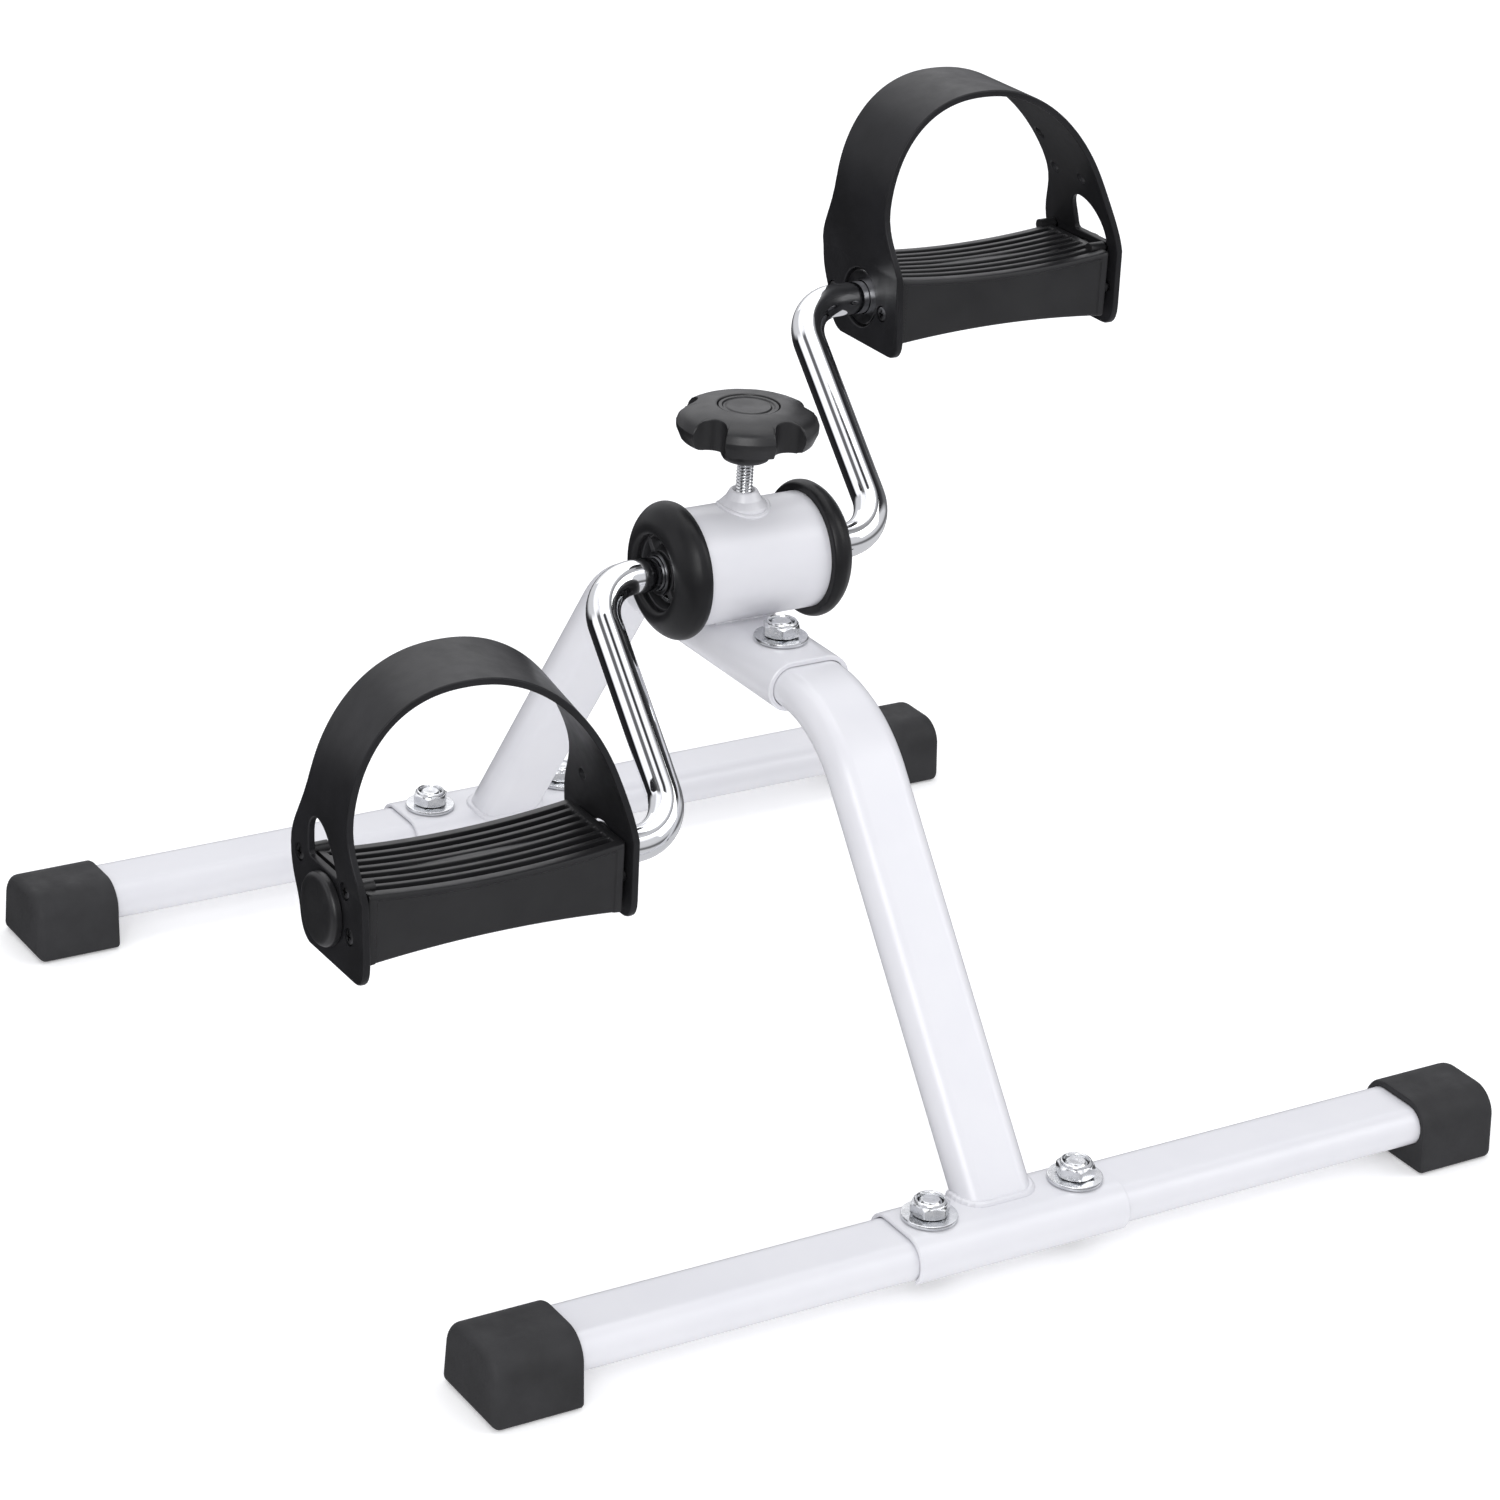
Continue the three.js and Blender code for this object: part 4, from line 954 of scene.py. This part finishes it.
def pedal_block():
    start, end = PEDAL_INNER, PEDAL_OUTER
    sink = 0.45
    stations = [(0, 0.8, 0, 0), (0.25, 0.25, 0, 0), (0.8, 0, 0, 0), (TREAD_RIM, 0, 0, 0),
                (PANEL_BORDER, 0, 0.35, 0), (PANEL_BORDER + 0.35, 0, 0.75, sink),
                (TREAD_RIM + 1.6, 0, 1, sink)]
    rings = [pedal_section(start + x, *shape) for x, *shape in stations]
    steps = 24
    first, last = start + 5, end - 5
    rings += [pedal_section(first + (last - first) * i / steps, 0, 1, sink) for i in range(steps + 1)]
    rings += [pedal_section(end - x, *shape) for x, *shape in reversed(stations)]
    return loft(rings)


def pedal_body():
    start, end = PEDAL_INNER, PEDAL_OUTER
    inside = PEDAL_HALF_DEPTH - PEDAL_WALL
    cavity = block((start + PEDAL_WALL, -inside, SOLE_BOTTOM - 8),
                   (end - PEDAL_WALL, inside, TREAD_UNDERSIDE), 1.5)
    steps = [("DIFFERENCE", cavity), ("UNION", rod(9, start + 1, end - 1, "X", 48))]
    for share in (0.25, 0.5, 0.75):
        x = start + (end - start) * share
        steps.append(("UNION", block((x - 1, 1 - PEDAL_HALF_DEPTH, -8), (x + 1, PEDAL_HALF_DEPTH - 1, 8))))
    for low, high in ((NECK_INNER, start + 1.5), (end - 1.5, NECK_OUTER)):
        steps.append(("UNION", block((low, -17, -11), (high, 17, 11), 0.6)))
    for screws, low, high in ((OUTER_SCREWS, end - 5, NECK_OUTER - 1),
                              (INNER_SCREWS, NECK_INNER, start + 5)):
        for y, z in screws:
            steps.append(("UNION", rod(SCREW_BOSS_RADIUS, low + 0.02, high - 0.02, "X", 24, (0, y, z))))
    steps.append(("DIFFERENCE", rod(ROD_BORE, NECK_INNER - 1, NECK_OUTER + 1, "X", 48)))
    steps.append(("DIFFERENCE", rod(10, AXLE_END - 4.2, NECK_OUTER + 1, "X", 48)))
    for screws, low, high in ((OUTER_SCREWS, NECK_OUTER - SCREW_DEPTH, NECK_OUTER + 1),
                              (INNER_SCREWS, NECK_INNER - 1, NECK_INNER + SCREW_DEPTH)):
        for y, z in screws:
            steps.append(("DIFFERENCE", rod(SCREW_HOLE_RADIUS, low, high, "X", 20, (0, y, z))))
    return combined(pedal_block(), *steps)


class StrapPath:
    """The strap's middle seen along Y, from the outer end's foot over the arch to the inner end's."""

    bottom = -20
    power = 2 / 2.2

    def __init__(self, lean):
        half = STRAP_THICKNESS / 2
        middle = (STRAP_INNER + STRAP_OUTER) / 2
        reach = (STRAP_OUTER - STRAP_INNER) / 2 - half
        rise = STRAP_HEIGHT - half - ARCH_BASE
        steps = 160
        points = [(middle + reach, self.bottom)]
        for i in range(steps + 1):
            angle = pi * i / steps
            across = abs(cos(angle)) ** self.power * (1 if angle < pi / 2 else -1)
            up = abs(sin(angle)) ** self.power
            points.append((middle + reach * across + lean * up, ARCH_BASE + rise * up))
        points.append((middle - reach, self.bottom))
        self.points = points
        self.lengths = [0]
        for (x0, z0), (x1, z1) in zip(points, points[1:]):
            self.lengths.append(self.lengths[-1] + hypot(x1 - x0, z1 - z0))

    def tangent(self, k):
        x0, z0 = self.points[max(0, k - 1)]
        x1, z1 = self.points[min(len(self.points) - 1, k + 1)]
        return Vector((x1 - x0, z1 - z0)).normalized()

    def place(self, along, off):
        """The point at a distance along the strap and off its middle surface, outwards."""
        k = min(max(bisect_right(self.lengths, along) - 1, 0), len(self.lengths) - 2)
        share = (along - self.lengths[k]) / (self.lengths[k + 1] - self.lengths[k])
        start, end = Vector(self.points[k]), Vector(self.points[k + 1])
        if k in (0, len(self.lengths) - 2):
            tangent = (end - start).normalized()
        else:
            tangent = self.tangent(k).lerp(self.tangent(k + 1), share).normalized()
        return start.lerp(end, share) + Vector((tangent.y, -tangent.x)) * off

    def along(self, height, outer):
        """How far along the strap a height is reached, on the outer or the inner side."""
        rows = [(length, z) for length, (_, z) in zip(self.lengths, self.points)]
        if not outer:
            rows.reverse()
        for (here, z0), (there, z1) in zip(rows, rows[1:]):
            if z0 <= height <= z1:
                return here + (there - here) * (height - z0) / (z1 - z0)
        return rows[0][0]


def strap_rear(bottom):
    """The rear edge of one end, as (y, height) from the foot up."""
    band = BAND_HALF_WIDTH
    return trace((12, bottom), ((18.5, bottom + 1.5), (20, -8), 6), ((21.5, -2), (27.5, 3), (27.5, 13), 8),
                 ((27.5, 24), (band, 30), (band, 44), 8))


def strap_front(bottom, front, foot):
    """The front edge of one end, as (y, height) from the foot up."""
    band = BAND_HALF_WIDTH
    return trace((7 - foot, bottom), ((-foot, bottom), (-foot, -10), 6),
                 ((0.2 - foot, -2), (-front - 0.2, 4), (-front, 12), 6),
                 ((0.5 - front, 22), (-band, 28), (-band, 40), 8))


def strap_window(shift):
    points = trace((-8, 14.2), ((10, 14.2), 1), ((11.5, 14.2), (11.5, 15.8), 3), ((11.5, 22.8), 1),
                   ((11.5, 27.8), (8, 30.3), (4.5, 30.3), 7), ((-3, 30.3), (-8.5, 22.8), (-9.4, 16.2), 9),
                   ((-9.6, 14.2), (-8, 14.2), 3))
    return [(y + shift, z) for y, z in points]


def strap(side, side_x):
    path = StrapPath(-STRAP_LEAN[side] * side_x)
    outer_end, inner_end = (BROAD_END, NARROW_END) if side == "left" else (NARROW_END, BROAD_END)

    def unrolled(points, outer):
        return [(path.along(z, outer), y) for y, z in points]

    outline = unrolled(strap_rear(OUTER_BOTTOM), True)
    outline += unrolled(reversed(strap_rear(INNER_BOTTOM)), False)
    outline += unrolled(strap_front(INNER_BOTTOM, *inner_end), False)
    outline += unrolled(reversed(strap_front(OUTER_BOTTOM, *outer_end)), True)
    holes = [unrolled(strap_window(WINDOW_SHIFT[side]), True), unrolled(circle(11, 56), True),
             unrolled(circle(11.5, 56), False)]
    for places, radius, count, outer in (
            (OUTER_SCREWS, SCREW_HOLE_RADIUS, 16, True), (INNER_SCREWS, SCREW_HOLE_RADIUS, 16, False),
            (PEG_HOLES[side], PEG_HOLE_RADIUS, 20, side_x > 0)):
        holes += [unrolled(circle(radius, count, at), outer) for at in places]
    bm = flat_sheet([outline, *holes], STRAP_THICKNESS, 0.6)
    along = path.along(ARCH_BASE, True)
    step = 1.8
    while along < path.along(ARCH_BASE, False):
        bmesh.ops.bisect_plane(bm, geom=[*bm.verts, *bm.edges, *bm.faces],
                               plane_co=(along, 0, 0), plane_no=(1, 0, 0))
        along += step
    for vertex in bm.verts:
        x, z = path.place(vertex.co.x, vertex.co.z)
        up = max(0, z - ARCH_BASE) / (STRAP_HEIGHT - ARCH_BASE)
        vertex.co = (x - STRAP_TWIST[side] * side_x * vertex.co.y * up, vertex.co.y, z)
    recess = STRAP_THICKNESS / 2 + GAP
    cuts = []
    for screws, low, high in ((OUTER_SCREWS, STRAP_OUTER - recess, STRAP_OUTER + 2),
                              (INNER_SCREWS, STRAP_INNER - 2, STRAP_INNER + recess)):
        for y, z in screws:
            cuts.append(("DIFFERENCE", rod(SCREW_HEAD_RADIUS + GAP, low, high, "X", 32, (0, y, z))))
    return combined(tidy(bm), *cuts)


def strap_screw():
    """A cross-head screw along X, its tip at 0 and its head outermost."""
    head = SCREW_DEPTH - 0.5 + STRAP_THICKNESS / 2 + GAP
    profile = [(0, 0), (1.1, 0.6), (1.45, 1.4), (1.45, head), (2.9, head), (SCREW_HEAD_RADIUS, head + 0.15),
               (SCREW_HEAD_RADIUS, head + 0.5), (2.6, head + 1.0), (1.6, head + 1.28), (0, head + 1.32)]
    body = lathe(profile, "X", 40)
    slots = [block((head + 0.2, -a, -b), (head + 3, a, b)) for a, b in ((1.5, 0.36), (0.36, 1.5))]
    return combined(body, *(("DIFFERENCE", slot) for slot in slots))


def dust_cap():
    low, high = box_mm("dust_cap_right")
    face = STRAP_OUTER + GAP
    outer = (high.y - low.y) / 2
    profile = [(0, low.x), (10.5, low.x), (10.75, low.x + 0.3), (10.75, face), (outer - 0.3, face),
               (outer, face + 0.3), (outer, face + 1.8),
               *smooth([(outer - 0.1, face + 2.3), (outer - 0.7, face + 3.1), (outer - 2.2, face + 3.65),
                        (outer - 6, face + 4), (0, high.x)], 4)]
    return lathe(profile, "X", 72)


def make_pedal(side, side_x):
    axle = AXLES[side]

    def place(node_name, bm, look):
        piece(node_name, moved(mirrored(bm, side_x), y=axle.y, z=axle.z), look, f"{side}_pedal")

    place(f"pedal_body_{side}", pedal_body(), MOULDED_BLACK)
    place(f"strap_{side}", strap(side, side_x), STRAP_BLACK)
    place(f"dust_cap_{side}", dust_cap(), MOULDED_BLACK)
    for row, screws, tip, way in (("outer", OUTER_SCREWS, NECK_OUTER - SCREW_DEPTH + 0.5, 1),
                                  ("inner", INNER_SCREWS, NECK_INNER + SCREW_DEPTH - 0.5, -1)):
        for i, (y, z) in enumerate(screws, 1):
            screw = moved(mirrored(strap_screw(), way), tip, y, z)
            place(f"strap_screw_{row}_{i}_{side}", screw, BLACK_STEEL)


# ---- studio ----

CAMERA_AT = Vector((-0.8005, -1.2462, 0.7761))
CAMERA_AZIMUTH = radians(-32.84)
CAMERA_ELEVATION = radians(23.87)
CAMERA_ROLL = radians(3.47)
CAMERA_LENS = 104.65


def make_camera():
    camera = linked("camera", bpy.data.cameras.new("camera"))
    camera.data.lens = CAMERA_LENS
    camera.data.sensor_width = 36
    camera.data.clip_start = 0.05
    camera.data.clip_end = 50
    back = Vector((sin(CAMERA_AZIMUTH) * cos(CAMERA_ELEVATION),
                   -cos(CAMERA_AZIMUTH) * cos(CAMERA_ELEVATION), sin(CAMERA_ELEVATION)))
    camera.rotation_mode = "QUATERNION"
    camera.rotation_quaternion = back.to_track_quat("Z", "Y") @ Quaternion((0, 0, 1), CAMERA_ROLL)
    camera.location = CAMERA_AT
    bpy.context.scene.camera = camera


# Light and dark panels in a ring round the crank arms' direction, seen in reflections only:
# (degrees round the ring from the panel an arm's middle shows the camera, brightness from 0 to 1).
PANELS = (
    (-180, 0.02), (-84, 0.0), (-74, 0.95), (-38, 1.0), (-31, 0.12), (-14, 0.1), (-7, 0.95), (7, 0.95),
    (12, 0.04), (24, 0.02), (31, 0.95), (52, 0.9), (64, 0.3), (74, 0.0), (100, 0.03), (112, 0.1),
    (150, 0.14), (165, 0.03),
)
PANEL_START = -120.5
CRANK_TILT = atan2(AXLES["right"].y - CRANK.y, AXLES["right"].z - CRANK.z)
BRIGHTEST = (1.45, 1.45, 1.5, 1)
DARKEST = (0.012, 0.012, 0.014, 1)


def reflected_studio(tree, place):
    """The panels within a band square to the arms, and outside it a light ceiling over a dark ground."""
    turned = node(tree, "ShaderNodeVectorRotate", {"Vector": place, "Angle": CRANK_TILT},
                  rotation_type="X_AXIS").outputs["Vector"]
    around = node(tree, "ShaderNodeTexGradient", {"Vector": turned}, gradient_type="RADIAL").outputs["Fac"]
    stops = sorted(((0.5 + (PANEL_START + turn) / 360) % 1, level) for turn, level in PANELS)
    stops = [(0, stops[-1][1]), *stops, (1, stops[-1][1])]
    band = node(tree, "ShaderNodeSeparateXYZ", {"Vector": turned}).outputs["Z"]
    inside = ramped(tree, band, ((0, 0), (0.1, 0), (0.2, 1), (0.56, 1), (0.68, 0), (1, 0)))
    height = node(tree, "ShaderNodeSeparateXYZ", {"Vector": place}).outputs["Z"]
    raised = node(tree, "ShaderNodeMapRange", {
        "Value": height, "From Min": -1, "From Max": 1, "To Min": 0, "To Max": 1}).outputs["Result"]
    ceiling = ramped(tree, raised, ((0, 0.5), (0.32, 0.5), (0.38, 0.12), (0.43, 0.12), (0.5, 0.5),
                                    (0.6, 0.55), (0.74, 0.55), (0.79, 0.95), (0.92, 0.9), (1, 0.4)))
    level = mixed_colour(tree, inside, ceiling, ramped(tree, around, stops))
    return mixed_colour(tree, level, DARKEST, BRIGHTEST)


def make_floor():
    half = 6
    mesh = bpy.data.meshes.new("floor")
    corners = [(-half, -half, 0), (half, -half, 0), (half, half, 0), (-half, half, 0)]
    mesh.from_pydata(corners, [], [(0, 1, 2, 3)])
    floor = linked("floor", mesh)
    floor.location.z = -0.0005
    material = bpy.data.materials.new("pale_floor")
    material.use_nodes = True
    tree = material.node_tree
    shader = wire(tree, tree.nodes["Principled BSDF"], {
        "Base Color": (0.93, 0.93, 0.93, 1), "Roughness": 0.9,
        "Emission Color": (1, 1, 1, 1), "Emission Strength": 0.25})
    glossy = node(tree, "ShaderNodeLightPath").outputs["Is Glossy Ray"]
    clear = node(tree, "ShaderNodeBsdfTransparent").outputs["BSDF"]
    mixed = node(tree, "ShaderNodeMixShader", {"Fac": glossy, 1: shader.outputs["BSDF"], 2: clear})
    wire(tree, tree.nodes["Material Output"], {"Surface": mixed.outputs["Shader"]})
    mesh.materials.append(material)


def make_light(name, place, size, power):
    """A panel of light, turned to the middle of the object."""
    data = bpy.data.lights.new(name, "AREA")
    data.shape = "RECTANGLE"
    data.size, data.size_y = size
    data.energy = power
    light = linked(name, data)
    light.location = place
    aim = Vector(place) - Vector((0, 0, 0.15))
    light.rotation_mode = "QUATERNION"
    light.rotation_quaternion = aim.to_track_quat("Z", "Y")


def make_world():
    """White to the camera, an even dome for soft light, and the panels in reflections."""
    world = bpy.data.worlds.new("studio")
    bpy.context.scene.world = world
    world.use_nodes = True
    tree = world.node_tree
    place = node(tree, "ShaderNodeTexCoord").outputs["Generated"]
    height = node(tree, "ShaderNodeSeparateXYZ", {"Vector": place}).outputs["Z"]
    dome = ramped(tree, height, ((0, (0.3, 0.3, 0.31)), (0.45, (0.62, 0.62, 0.65)),
                                 (0.9, (0.75, 0.76, 0.79))))
    path = node(tree, "ShaderNodeLightPath").outputs
    lit = mixed_colour(tree, path["Is Glossy Ray"], dome, reflected_studio(tree, place))
    shown = mixed_colour(tree, path["Is Camera Ray"], lit, (1.2, 1.2, 1.2, 1))
    wire(tree, tree.nodes["Background"], {"Color": shown, "Strength": 0.9})


def make_studio():
    make_camera()
    make_floor()
    make_world()
    make_light("key", (-1.35, -1.9, 1.35), (1.1, 1.5), 26)
    make_light("fill", (1.9, -1.2, 1.6), (1.2, 1.6), 12)
    make_light("top", (0.1, 0.4, 2.4), (2.0, 1.8), 16)
    make_light("back", (0.6, 2.2, 1.5), (2.0, 1.2), 5)
    bpy.context.scene.view_settings.view_transform = "Standard"


make_studio()
make_stand()
make_legs()
make_housing()
make_crank()
make_brake()
for pedal_side, pedal_side_x in SIDES:
    make_pedal(pedal_side, pedal_side_x)
